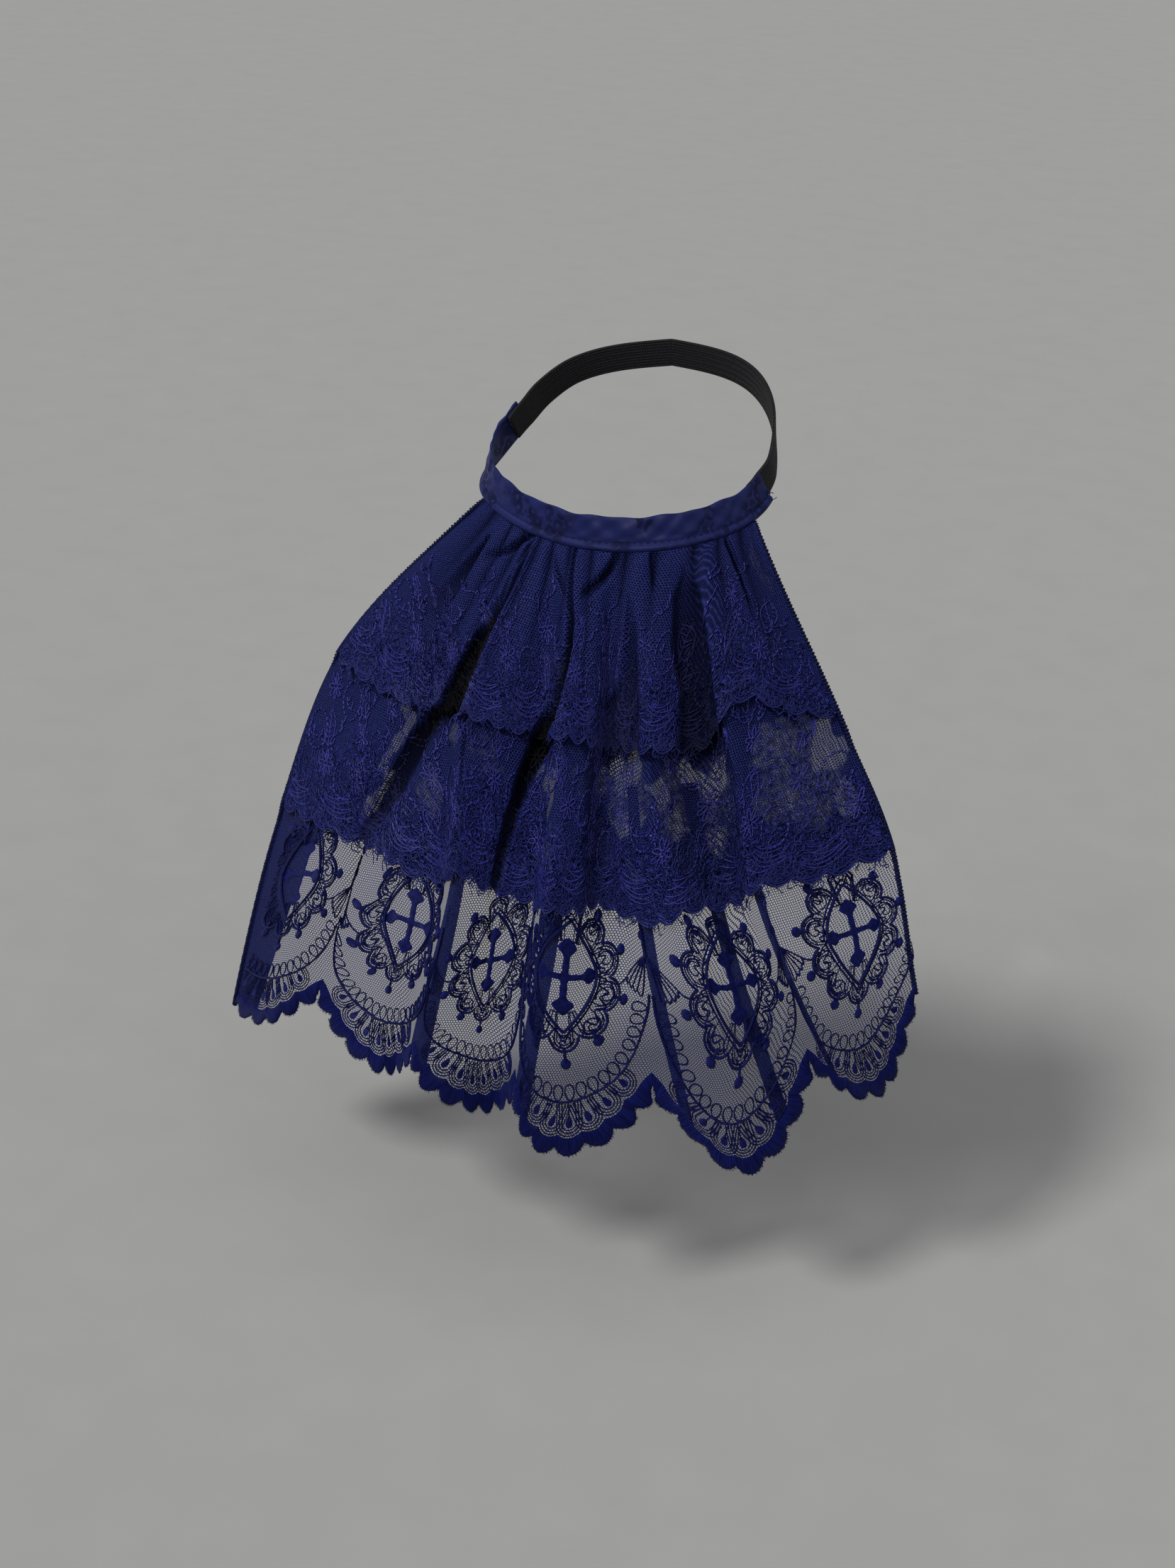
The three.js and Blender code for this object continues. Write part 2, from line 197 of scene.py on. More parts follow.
def smooth_step(x):
    """0 up to x = 0 and 1 from x = 1 on, smooth between them."""
    u = np.clip(x, 0, 1)
    return u * u * (3 - 2 * u)


def unit(vectors):
    return vectors / np.linalg.norm(vectors, axis=-1, keepdims=True)


print("half way between two folds the cloth falls", smooth_value(FOLDS, 228.0, 6).round(1), "mm")


# %% The neck ring
def wrap(degrees):
    return (degrees + 540) % 360 - 180


def ring_centre(degrees):
    """Middle line of the band and of the elastic."""
    a = np.radians(wrap(degrees))
    height = smooth_value(NECK, wrap(degrees), 1)
    return np.stack([NECK_HALF_WIDTH * np.sin(a), -NECK_HALF_DEPTH * np.cos(a), height], -1)


def ring_frame(degrees):
    """Up and out directions of the band at each angle round the neck."""
    along = unit(ring_centre(degrees + 1) - ring_centre(degrees - 1))
    lean = np.radians(smooth_value(NECK, wrap(degrees), 2))[..., None]
    outward = unit(np.cross(along, [0, 0, 1]))
    upright = unit(np.cross(outward, along))
    up = upright * np.cos(lean) - outward * np.sin(lean)
    return up, outward * np.cos(lean) + upright * np.sin(lean)


def ring_point(degrees, up, out):
    """A point on the band: up along its height, out along its thickness."""
    band_up, band_out = ring_frame(degrees)
    lift = np.broadcast_to(up, degrees.shape)[..., None]
    push = np.broadcast_to(out, degrees.shape)[..., None]
    return ring_centre(degrees) + band_up * lift + band_out * push


print("the ring rises to", ring_centre(np.array([180.0]))[0, 2], "mm at the back")


# %% The lines that the cloth follows
def chest(x, z):
    """The shape that the bib lies on: y for a sideways place and a height."""
    return -smooth_value(CHEST, -z, 1) + x * x / (2 * smooth_value(CHEST, -z, 2))


def hem_distance(tier, lace):
    """Distance from the band to each hem, before its scallops."""
    extra = smooth_value(FOLDS, lace, 6) - TIER_LENGTH[2]
    share = (TIER_LENGTH[tier] / TIER_LENGTH[2]) ** 2
    side = np.abs(2 * lace / LACE_WIDTH - 1) ** 4
    return TIER_LENGTH[tier] + extra * share + SIDE_DROOP[tier] * side


LINE_STEP, LINE_COUNT = 4.0, 72
FOLD_OPENING, NECK_SETTLING = 45.0, 22.0


def fall_lines():
    """The lines that the cloth follows down from the band, one for each row of FOLDS."""
    lace, last_x, lift = FOLDS[:, 0], FOLDS[:, 4], FOLDS[:, 5]
    start = ring_point(FOLDS[:, 1], -BAND_HEIGHT / 2 - SEAM_GAP, 0.0)
    hems = np.stack([hem_distance(tier, lace) for tier in range(3)], 1)
    stations = [np.stack([np.r_[0, h], np.r_[x, row]], -1)
                for h, x, row in zip(hems, start[:, 0], FOLDS[:, 2:5])]
    slope = (last_x - FOLDS[:, 3]) / (hems[:, 2] - hems[:, 1])
    start_off = start[:, 1] - chest(start[:, 0], start[:, 2])
    lines = [start]
    for i in range(1, LINE_COUNT + 1):
        down = i * LINE_STEP
        x = np.array([smooth_value(table, down, 1) for table in stations])
        past = np.maximum(down - hems[:, 2], 0)
        x = np.where(past > 0, last_x + slope * past, x)
        off = start_off * math.exp(-down / NECK_SETTLING)
        off = off - lift * (1 - math.exp(-down / FOLD_OPENING))
        last = lines[-1]
        z = last[:, 2] - LINE_STEP
        for _ in range(6):
            y = chest(x, z) + off
            left = LINE_STEP ** 2 - (x - last[:, 0]) ** 2 - (y - last[:, 1]) ** 2
            z = last[:, 2] - np.sqrt(np.maximum(left, 0.2))
        lines.append(np.stack([x, chest(x, z) + off, z], -1))
    return np.stack(lines, 1)


print("fold lines:", len(FOLDS), "of", LINE_COUNT * LINE_STEP, "mm")

# %% Between the lines
SMOOTH_HEM, SMOOTH_NECK, NECK_BLUR = 5.0, 8.0, 40.0
NECK_RELEASE, SIDE_MEET = 8.0, 25.0
TAPS = np.linspace(-2, 2, 9)
TAP_WEIGHTS = np.exp(-TAPS ** 2 / 2) / np.exp(-TAPS ** 2 / 2).sum()


def creased(lace, lines):
    """The cloth before it is smoothed: a curve through the fold lines at one height."""
    key = FOLDS[:, 0]
    o, i, j, k = neighbours(key, lace)
    span = key[j] - key[i]
    slope_a = (lines[j] - lines[o]) * (span / (key[j] - key[o]))[:, None]
    slope_b = (lines[k] - lines[i]) * (span / (key[k] - key[i]))[:, None]
    return hermite(lines[i], lines[j], slope_a, slope_b, ((lace - key[i]) / span)[:, None])


def folded(lace, lines, width):
    """The cloth at one height, averaged along the lace so that no fold is too sharp."""
    total = np.zeros((len(lace), 3))
    for tap, weight in zip(TAPS, TAP_WEIGHTS):
        place = lace + tap * width
        inside = np.where(place > LACE_WIDTH, 2 * LACE_WIDTH - place, np.abs(place))
        sample = creased(inside, lines)
        side = creased(np.where(place < 0, 0.0, LACE_WIDTH), lines)
        outside = ((place < 0) | (place > LACE_WIDTH))[:, None]
        total += weight * np.where(outside, 2 * side - sample, sample)
    return total


print("the cloth is averaged over", len(TAPS), "places")

# %% [markdown]
# ## Deep pleats and sheer patches
#
# Two more things are read from the real collar: where its pleats lie so deep that no light reaches
# them, and where only sheer net lies over the hem tier. Both are short tables, and the functions
# below them answer for any place of the flat lace. A pleat pushes the cloth back, and its shade is
# painted into the cloth's colour as well.

# %% Deep pleats
# One list for each pleat. In a row: distance below the band, where the pleat begins and ends along
# the lace, how softly it does so at either side, and its depth from 0 to 1, which also sets how
# dark its painted shade is
PLEATS = [
    [(12, 40, 46, 3, 2, .8), (20, 34, 46, 6, 2, .85), (30, 30, 47, 8, 3, .7),
     (45, 26, 47, 8, 4, .35), (62, 30, 46, 8, 8, 0)],
    [(2, 133, 142, 3, 3, .4), (15, 134, 143, 4, 3, .75), (30, 130, 142, 6, 3, .85),
     (40, 112, 141, 10, 3, 1), (46, 103, 140, 8, 3, 1), (60, 97, 139, 8, 3, 1),
     (78, 92, 137, 10, 4, 1), (84, 66, 125, 6, 30, 1), (95, 59, 112, 4, 35, .95),
     (110, 57, 100, 3, 30, .85), (125, 56, 88, 3, 22, .75), (137, 55, 72, 3, 12, .6),
     (146, 54, 64, 3, 5, .45), (190, 55, 62, 3, 3, .3)],
    [(2, 219, 225, 2, 2, .5), (12, 217, 224, 3, 2, .6), (22, 217, 225, 3, 2, .65),
     (32, 220, 228, 4, 2, .8), (42, 219, 227, 5, 2, 1), (50, 213, 225, 6, 3, 1),
     (58, 206, 222, 8, 3, 1), (66, 196, 219, 8, 3, 1), (72, 188, 217, 7, 5, 1),
     (78, 184, 206, 4, 8, 1), (86, 182, 198, 3, 4, 1), (95, 178, 192, 3, 4, .95),
     (105, 175, 187, 3, 4, .9), (115, 172, 183, 3, 3, .85), (125, 170, 180, 3, 3, .75),
     (138, 168, 178, 3, 3, .7), (146, 168, 175, 3, 3, .5), (185, 170, 176, 3, 3, .3)],
    [(1, 118, 140, 8, 6, .6), (6, 98, 122, 8, 8, .7), (11, 68, 104, 8, 8, .7),
     (15, 52, 70, 5, 8, .5), (20, 46, 56, 4, 4, 0)],
    [(8, 188, 200, 4, 4, .2), (14, 197, 208, 4, 4, .55), (21, 207, 218, 4, 4, .55)],
    [(3, 270, 286, 4, 4, .6), (8, 260, 277, 4, 4, .75), (13, 246, 266, 5, 5, .75),
     (18, 232, 252, 5, 6, .6), (22, 229, 240, 4, 5, .3)],
    [(18, 298, 306, 4, 8, .2), (35, 298, 316, 6, 8, .55), (50, 296, 318, 8, 4, .65),
     (62, 262, 320, 25, 5, .55), (82, 262, 320, 25, 5, .5), (96, 262, 285, 10, 10, .1)],
    [(12, 352, 362, 6, 4, .3), (20, 343, 373, 5, 3, .55), (40, 341, 375, 5, 2, .65),
     (60, 345, 375, 8, 2, .75), (80, 340, 375, 10, 2, .75), (100, 362, 381, 8, 2, .3)],
    [(4, 401, 410, 3, 3, .7), (12, 404, 412, 3, 3, .85), (25, 407, 413, 3, 2, .6),
     (38, 408, 413, 3, 2, .2)],
    [(3, 318, 326, 3, 3, .5), (12, 322, 329, 3, 3, .4), (22, 326, 331, 3, 3, 0)],
    [(84, 238, 292, 10, 14, .15), (110, 242, 290, 10, 14, .25), (135, 246, 286, 10, 12, .2),
     (150, 250, 280, 10, 10, 0)],
    [(84, 322, 379, 6, 4, .3), (110, 323, 379, 6, 4, .35), (135, 326, 377, 8, 6, .25),
     (148, 330, 370, 8, 8, 0)],
    [(80, 136, 142, 3, 2, .5), (100, 137, 143, 3, 2, .4), (140, 134, 140, 3, 3, .35),
     (150, 134, 140, 3, 3, 0)],
]
PLEAT_DEPTH = 4.0


def pleat(lace, down):
    """How deep in a pleat a place of the cloth lies, from 0 to 1."""
    deepest = np.zeros(np.broadcast(lace, down).shape)
    for rows in PLEATS:
        way = np.array(rows, float)
        start, end, soft_start, soft_end, depth = (np.interp(down, way[:, 0], way[:, k])
                                                   for k in range(1, 6))
        depth = depth * smooth_step((down - way[0, 0] + 4) / 4) * (down < way[-1, 0] + 1)
        inside = smooth_step((lace - start) / soft_start) * smooth_step((end - lace) / soft_end)
        deepest = np.maximum(deepest, depth * inside)
    return deepest


print("deep pleats:", len(PLEATS))

# %% Sheer patches
# place along the lace, distance below the band, half the size in both directions, how sheer
SHEER = [(125, 89, 10, 7, .5), (109, 111, 9, 11, .45), (190, 90, 6, 6, .7), (208, 97, 8, 14, .75),
         (208, 124, 7, 8, .4), (300, 89, 17, 9, .85), (300, 108, 11, 8, .6), (272, 92, 10, 8, .4),
         (327, 97, 7, 6, .6), (348, 94, 8, 8, .75), (366, 95, 9, 9, .75), (337, 112, 8, 6, .5),
         (356, 118, 9, 7, .5), (402, 90, 12, 11, .45), (404, 114, 7, 6, .5), (430, 98, 9, 12, .85),
         (431, 122, 6, 7, .6), (54, 96, 4, 18, .6), (56, 125, 4, 16, .6), (85, 114, 24, 20, .25),
         (432, 18, 5, 22, .6), (357, 34, 12, 12, .35), (306, 44, 9, 12, .25), (4, 6, 5, 12, .8),
         (36, 32, 6, 10, .3), (355, 62, 7, 6, .25), (240, 95, 18, 12, .25), (155, 92, 14, 9, .3),
         (350, 104, 32, 20, .35), (412, 102, 28, 26, .4), (298, 98, 24, 18, .4)]


def sheer(lace, down):
    """How sheer the two upper tiers are at a place, from 0 to 1. The patches have wavy outlines."""
    clearest = np.zeros(np.broadcast(lace, down).shape)
    drift = lace + 2.6 * np.sin(down / 4.1 + lace / 9) + 1.7 * np.sin(lace / 3.7 + down / 2.3)
    below = down + 2.4 * np.sin(lace / 4.9 + 1) + 1.6 * np.sin(lace / 2.3 + down / 3.3)
    for at, level, wide, tall, share in SHEER:
        away = np.hypot((drift - at) / wide, (below - level) / tall)
        clearest = np.maximum(clearest, 0.85 * share * (1 - smooth_step((away - 0.8) / 0.28)))
    return clearest


print("sheer patches:", len(SHEER))


# %% Ridges, gathers and hems
def ridges(lace, down):
    """Round ridges with sharp valleys between them, from 0 to 1."""
    drift = lace + 7 * np.sin(lace / 31) + 4 * np.sin(lace / 13 + 1) + 0.12 * down
    return np.abs(np.sin(np.pi * drift / 36)) ** 0.8


def gathers(lace, down):
    """The small pleats that the gathering thread leaves below the band, in all three plies."""
    close = 2.4 * np.exp(-down / 38) * smooth_step(down / 7) * (ridges(lace, down) - 0.6)
    roll = np.sin(2 * np.pi * lace / 47 + 0.01 * down) * np.sin(lace / 41 + 0.6)
    return close + 1.2 * roll * smooth_step(down / 30) * (1 - 0.6 * smooth_step((down - 90) / 80))


def big_scallop(lace):
    place = ((lace - FIRST_SCALLOP) / SCALLOP_WIDTH) % 1
    arch = 1 - np.abs(2 * place - 1) ** ARCH_POWER
    return SCALLOP_DEPTH * arch + LOBE_DEPTH * np.sin(np.pi * ((place * LOBES) % 1))


def small_scallop(lace):
    return SMALL_DEPTH * np.sin(np.pi * ((lace * SMALL_SCALLOPS / LACE_WIDTH) % 1))


def hem_base(tier, lace):
    """Distance from the band to the line that the ornament of a tier is measured from."""
    lift = smooth_value(HEM_LIFT, lace, tier + 1) if tier < 2 else 0.0
    return hem_distance(tier, lace) + HEM_TIP[tier] - lift


def hem_of(tier, lace):
    """Distance from the band to the scalloped edge itself."""
    if tier == 2:
        return hem_distance(2, lace) + big_scallop(lace)
    return hem_base(tier, lace) - HEM_TIP[tier] + small_scallop(lace)


middle_hems = [hem_of(tier, np.array([LACE_WIDTH / 2]))[0] for tier in range(3)]
print("hems at the middle:", np.round(middle_hems), "mm below the band")


# %% The cloth
class Cloth:
    """The folded cloth on a grid of 1 mm, and its outward directions."""

    MARGIN, DEPTH = 3, 287

    def __init__(self):
        lines = fall_lines()
        lace = np.arange(-self.MARGIN, LACE_WIDTH + self.MARGIN + 1.0)
        downs = np.arange(0, self.DEPTH + 1.0)
        rows = []
        for down in downs:
            i = min(int(down / LINE_STEP), LINE_COUNT - 1)
            share = down / LINE_STEP - i
            at = lines[:, i] * (1 - share) + lines[:, i + 1] * share
            rows.append(folded(lace, at, SMOOTH_HEM + SMOOTH_NECK * math.exp(-down / NECK_BLUR)))
        self.points = np.stack(rows, 1)
        down_way = np.gradient(self.points, axis=1)
        lace_way = np.gradient(self.points, axis=0)
        band_out = ring_frame(smooth_value(FOLDS, lace, 1))[1][:, None]
        share = smooth_step(downs / NECK_RELEASE)[None, :, None]
        free = unit(np.cross(down_way, lace_way))
        self.outward = unit(band_out * (1 - share) + free * share)
        width = np.linalg.norm(lace_way, axis=-1)
        self.fullness = 1 / width[..., None]
        across = np.cumsum(width, 0)
        self.across, self.lace = (across - across[len(lace) // 2])[..., None], lace

    def across_at(self, lace, down):
        """How far across the cloth from its middle a place of the lace lies."""
        return self.look_up(self.across, lace, down).ravel()

    def lace_at(self, across, down):
        """The place along the lace that lies a distance across the cloth from its middle."""
        lace = np.empty(len(down))
        rows = np.clip(np.round(down), 0, self.DEPTH).astype(int)
        order = np.argsort(rows, kind="stable")
        starts = np.flatnonzero(np.diff(rows[order], prepend=-1))
        for group in np.split(order, starts[1:]):
            lace[group] = np.interp(across[group], self.across[:, rows[group[0]], 0], self.lace)
        return lace

    def look_up(self, grid, lace, down):
        """What a grid of the cloth holds at any places, weighed from its four nearest points."""
        a = np.clip(lace + self.MARGIN, 0, grid.shape[0] - 1.001)
        b = np.clip(down, 0, grid.shape[1] - 1.001)
        i, j = a.astype(int), b.astype(int)
        u, v = (a - i)[:, None], (b - j)[:, None]
        low = grid[i, j] * (1 - u) + grid[i + 1, j] * u
        high = grid[i, j + 1] * (1 - u) + grid[i + 1, j + 1] * u
        return low * (1 - v) + high * v

    def point(self, tier, lace, down, above=0.0):
        """Points of one tier in millimetres, at a height above its net."""
        offset = (1 - tier) * PLY_PITCH + above + gathers(lace, down)
        offset = offset - PLEAT_DEPTH * pleat(lace, down)
        offset = np.broadcast_to(offset, lace.shape)[:, None]
        at = self.look_up(self.points, lace, down)
        at = at + self.look_up(self.outward, lace, down) * offset
        side = smooth_step(np.minimum(lace, LACE_WIDTH - lace) / SIDE_MEET)
        for below in range(tier, 2):
            at[:, 1] -= side * STAND_OFF[below] * (down / TIER_LENGTH[below]) ** 2
        return at


cloth = Cloth()
low, high = cloth.points.min((0, 1)), cloth.points.max((0, 1))
print("the cloth spans", (high - low).round(), "mm")

# %% [markdown]
# ## Shader arithmetic
#
# A net is a repeated hexagon, and lace is masks over it, so the materials are mostly arithmetic
# on the flat lace coordinates. Wiring that by hand hides the formula. A small class that wraps
# one socket lets it be written as a formula, and every operator makes one Math node.


# %% Values of a material
class Value:
    """One socket of a material, with arithmetic on it."""

    def __init__(self, shader, socket):
        self.shader, self.socket = shader, socket

    def __add__(self, other):
        return self.shader.math("ADD", self, other)

    def __sub__(self, other):
        return self.shader.math("SUBTRACT", self, other)

    def __rsub__(self, other):
        return self.shader.math("SUBTRACT", other, self)

    def __mul__(self, other):
        return self.shader.math("MULTIPLY", self, other)

    def __truediv__(self, other):
        return self.shader.math("DIVIDE", self, other)

    __radd__, __rmul__ = __add__, __mul__

    def __abs__(self):
        return self.shader.math("ABSOLUTE", self)

    def at_least(self, other):
        return self.shader.math("MAXIMUM", self, other)

    def at_most(self, other):
        return self.shader.math("MINIMUM", self, other)

    def sine(self):
        return self.shader.math("SINE", self)

    def ripple(self):
        """A sine that runs from 0 to 1."""
        return self.sine() * 0.5 + 0.5

    def fraction(self):
        return self.shader.math("FRACT", self)

    def zigzag(self):
        """1 at every whole number and 0 halfway between two, in straight lines."""
        return abs(self.fraction() - 0.5) * 2.0

    def over(self, start, end):
        """0 below start and 1 above end, smooth between them."""
        return self.shader.node("ShaderNodeMapRange", {0: self, 1: start, 2: end},
                                interpolation_type="SMOOTHSTEP")


print("a formula such as 1 - mask makes one Math node")


# %% Nodes of a material
class Shader:
    """One material with a Principled shader, and the nodes that feed it."""

    def __init__(self, name, **settings):
        self.material = bpy.data.materials.new(name)
        self.material.use_nodes = True
        self.tree = self.material.node_tree
        self.principled = self.tree.nodes["Principled BSDF"]
        for socket, value in settings.items():
            self.principled.inputs[socket.replace("_", " ")].default_value = value

    def node(self, kind, inputs=None, output=0, **settings):
        made = self.tree.nodes.new(kind)
        for key, value in settings.items():
            setattr(made, key, value)
        for key, value in (inputs or {}).items():
            if isinstance(value, Value):
                self.tree.links.new(value.socket, made.inputs[key])
            else:
                made.inputs[key].default_value = value
        return Value(self, made.outputs[output])

    def math(self, operation, a, b=0.0):
        return self.node("ShaderNodeMath", {0: a, 1: b}, operation=operation)

    def parts(self, vector):
        split = self.node("ShaderNodeSeparateXYZ", {0: vector})
        outputs = split.socket.node.outputs
        return [Value(self, outputs[i]) for i in range(3)]

    def join(self, x, y, z=0.0):
        return self.node("ShaderNodeCombineXYZ", {0: x, 1: y, 2: z})

    def scaled(self, vector, factor):
        return self.node("ShaderNodeVectorMath", {0: vector, 3: factor}, operation="SCALE")

    def mixed(self, share, a, b):
        """Colour a where share is 0 and b where it is 1."""
        return self.node("ShaderNodeMix", {0: share, 6: a, 7: b}, output=2, data_type="RGBA")

    def noise(self, vector, scale, detail=2.0):
        return self.node("ShaderNodeTexNoise", {"Vector": vector, "Scale": scale, "Detail": detail})

    def cells(self, vector, scale, randomness=1.0):
        """Distance to the nearest of many scattered points."""
        return self.node("ShaderNodeTexVoronoi",
                         {"Vector": vector, "Scale": scale, "Randomness": randomness})

    def lace_place(self, name="lace"):
        """Flat lace coordinates in millimetres: along the lace, and above the hem tips."""
        uv = self.node("ShaderNodeUVMap", uv_map=name)
        return self.scaled(uv, 100.0)

    def object_place(self):
        return self.node("ShaderNodeTexCoord", output=3)

    def feed(self, **values):
        for socket, value in values.items():
            target = self.principled.inputs[socket.replace("_", " ")]
            self.tree.links.new(value.socket, target)

    def attribute(self, name):
        """A number kept on the points of the mesh."""
        return self.node("ShaderNodeAttribute", output=2, attribute_name=name)

    def painted_shade(self, colour):
        """The colour with painted shade laid over it: near black and rougher where the shade is
        deep.
        """
        depth = self.attribute("painted_shade")
        rough = self.principled.inputs["Roughness"].default_value
        self.feed(Roughness=depth * (1.0 - rough) + rough)
        return self.mixed(depth, colour, PAINTED_SHADE_BLACK)

    def bump(self, height, distance, strength=1.0):
        """Turns a height from 0 to 1 into a normal; distance is in metres."""
        inputs = {"Strength": strength, "Distance": distance, "Height": height}
        self.feed(Normal=self.node("ShaderNodeBump", inputs))


print("materials are written as formulas")

# %% [markdown]
# ## The net
#
# The ground of the lace is a hexagonal net with cells of 1.2 mm. Modelling every thread would
# take millions of faces, so the cells are cut out of a smooth sheet by the material's alpha: it
# is the distance to the nearest hexagon edge. Two candidate centres are compared, those of two
# interleaved rectangular lattices, and the nearer one wins.

# %% The net
NET_CELL = 1.2
NET_THREAD = 0.185
SHEEN = (0.16, 0.20, 0.62, 1)
# Painted shade: the near black taken by deep pleats, gather valleys and cloth under the upper tiers
PAINTED_SHADE_BLACK = (0.0003, 0.0003, 0.0012, 1)
# Painted shade at the sides of the fine stitches
STITCH_SHADE_BLACK = (0.0008, 0.001, 0.007, 1)
NAVY_DARK = (0.0015, 0.0025, 0.020, 1)
NAVY = (0.0045, 0.007, 0.048, 1)
NAVY_LIGHT = (0.012, 0.017, 0.095, 1)
NET_LIGHT = (0.026, 0.035, 0.17, 1)
NAVY_BRIGHT = (0.021, 0.027, 0.18, 1)
LEAST_COVER = 0.58  # how much of a cell is closed in the sheerest patch of the upper tiers


def lace_shader(name, uv="lace", **settings):
    """A shader with the sheen of navy thread, and the flat places that its pattern reads."""
    shader = Shader(name, Sheen_Tint=SHEEN, **settings)
    place = shader.lace_place(uv)
    x, y, _ = shader.parts(place)
    return shader, place, x, y


def net_threads(x, y, cell, thread):
    """1 on the threads of a hexagonal net and 0 in its cells."""
    tall = math.sqrt(3)
    u, v = x / cell, y / cell

    def lattice(dx, dy):
        px = (u + dx).fraction() - 0.5
        py = ((v / tall) + dy).fraction() * tall - tall / 2
        return px, py

    ax, ay = lattice(100.5, 100.5)
    bx, by = lattice(100.0, 100.0)
    far_a = abs(ax).at_least(abs(ax) * 0.5 + abs(ay) * (tall / 2))
    far_b = abs(bx).at_least(abs(bx) * 0.5 + abs(by) * (tall / 2))
    edge = 0.5 - far_a.at_most(far_b)
    return 1.0 - edge.over(thread * 0.35, thread)


def net_material(name, embroidery=None, ply_behind_and_its_shade=NAVY_DARK):
    """See-through net, and what closes its cells where the cloth is dense: the colour of the plies
    behind, darkened as painted shade.

    embroidery(shader, place, x, y) returns a mask of stitches, their height and their painted
    shade, lit on their crests and dark at their sides.
    """
    shader, place, x, y = lace_shader(name, "net", Roughness=0.6, Sheen_Weight=0.045,
                                      Sheen_Roughness=0.35, Specular_IOR_Level=0.04)
    wobble = shader.noise(place, 0.08) - 0.5
    dense = shader.attribute("dense")
    thread = (shader.attribute("fullness") - 1.0).at_most(2.5) * 0.02 + dense * 0.04 + NET_THREAD
    threads = net_threads(x + wobble * 2.4, y + wobble * 1.7, NET_CELL, thread)
    tone = shader.noise(place, 0.9, 3.0).over(0.35, 0.68)
    # Closed cells show the navy of the plies behind, with painted shade
    colour = shader.mixed(threads, ply_behind_and_its_shade, shader.mixed(tone, NAVY_LIGHT, NET_LIGHT))
    height = threads * 0.3
    if embroidery:
        stitches, relief, painted_stitch_shade = embroidery(shader, place, x, y)
        patchy = dense + (shader.noise(place, 0.33) - 0.5) * 0.6
        dense = patchy.over(0.15, 0.8).at_least(LEAST_COVER).at_least(stitches)
        height = height.at_least(relief)
        # Stitches run from navy on their crests to painted shade at their sides
        colour = shader.mixed(stitches, colour, shader.mixed(painted_stitch_shade, NAVY_BRIGHT, STITCH_SHADE_BLACK))
    # Painted shade from the cloth's points darkens the net in pleats and under the tiers above
    shader.feed(Base_Color=shader.painted_shade(colour), Alpha=threads.at_least(dense))
    shader.bump(height, 0.0008)
    return shader.material


def vermicelli(reach, full):
    """Meandering stitches that cover the lace up to a height, and fade out above it."""

    def embroidery(shader, place, x, y):
        field = shader.noise(place, 0.20, 1.0)
        contour = (field * 9.0).zigzag()
        ring = (shader.cells(place, 0.16) * 2.4).zigzag()
        line = contour.over(0.22, 0.42).at_least(1.0 - ring.over(0.16, 0.34))
        ragged = y + (shader.noise(place, 0.035, 2.0) - 0.5) * 60.0
        where = (1.0 - ragged.over(full, reach)) * (shader.attribute("dense") * 0.8 + 0.2)
        # The third mask is painted shade: dark at the sides of each stitch, light on its crest
        return line * where, contour.over(0.3, 0.9) * where, 1.0 - contour.over(0.4, 0.85)

    return embroidery


print("net cells of", NET_CELL, "mm")

# %% [markdown]
# ## The three tiers
#
# Each tier is a grid, one column for a place along the lace and one row for a share of the way
# to its own scalloped hem. The grid's corners are then carried to the folded cloth. UVs keep the
# flat coordinates, so net and stitches gather with the cloth and stay sharp at the hem.


# %% Mesh helpers
def coordinates(mesh):
    flat = np.empty(len(mesh.vertices) * 3)
    mesh.vertices.foreach_get("co", flat)
    return flat.reshape(-1, 3)


def place_vertices(mesh, points):
    mesh.vertices.foreach_set("co", np.asarray(points, float).ravel())
    mesh.update()


def as_mesh(name, made):
    """Ends a bmesh: what it holds becomes a mesh."""
    mesh = bpy.data.meshes.new(name)
    made.to_mesh(mesh)
    made.free()
    return mesh


def grid_mesh(name, across, along):
    """A flat grid whose x and y run from 0 to 1."""
    made = bmesh.new()
    bmesh.ops.create_grid(made, x_segments=across, y_segments=along, size=0.5,
                          matrix=Matrix.Translation((0.5, 0.5, 0)))
    return as_mesh(name, made)


def finish_piece(name, mesh, material, outward=None):
    """Links a mesh in place, and makes it ride the part's body.

    outward is "flip" where its faces are to be turned over, and "recalculate" for a closed form.
    """
    made = bmesh.new()
    made.from_mesh(mesh)
    if outward == "recalculate":
        bmesh.ops.recalc_face_normals(made, faces=made.faces)
    elif outward == "flip":
        bmesh.ops.reverse_faces(made, faces=made.faces)
    for face in made.faces:
        face.smooth = True
    made.to_mesh(mesh)
    made.free()
    mesh.materials.clear()
    mesh.materials.append(material)
    piece = show(name, mesh)
    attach(piece, "root")
    return piece


def set_lace_uv(mesh, lace, rise, name="lace"):
    """Flat coordinates, in units of 100 mm, on every corner."""
    layer = mesh.uv_layers.new(name=name)
    corner = np.empty(len(mesh.loops), int)
    mesh.loops.foreach_get("vertex_index", corner)
    layer.data.foreach_set("uv", np.stack([lace[corner], rise[corner]], -1).ravel() / 100)


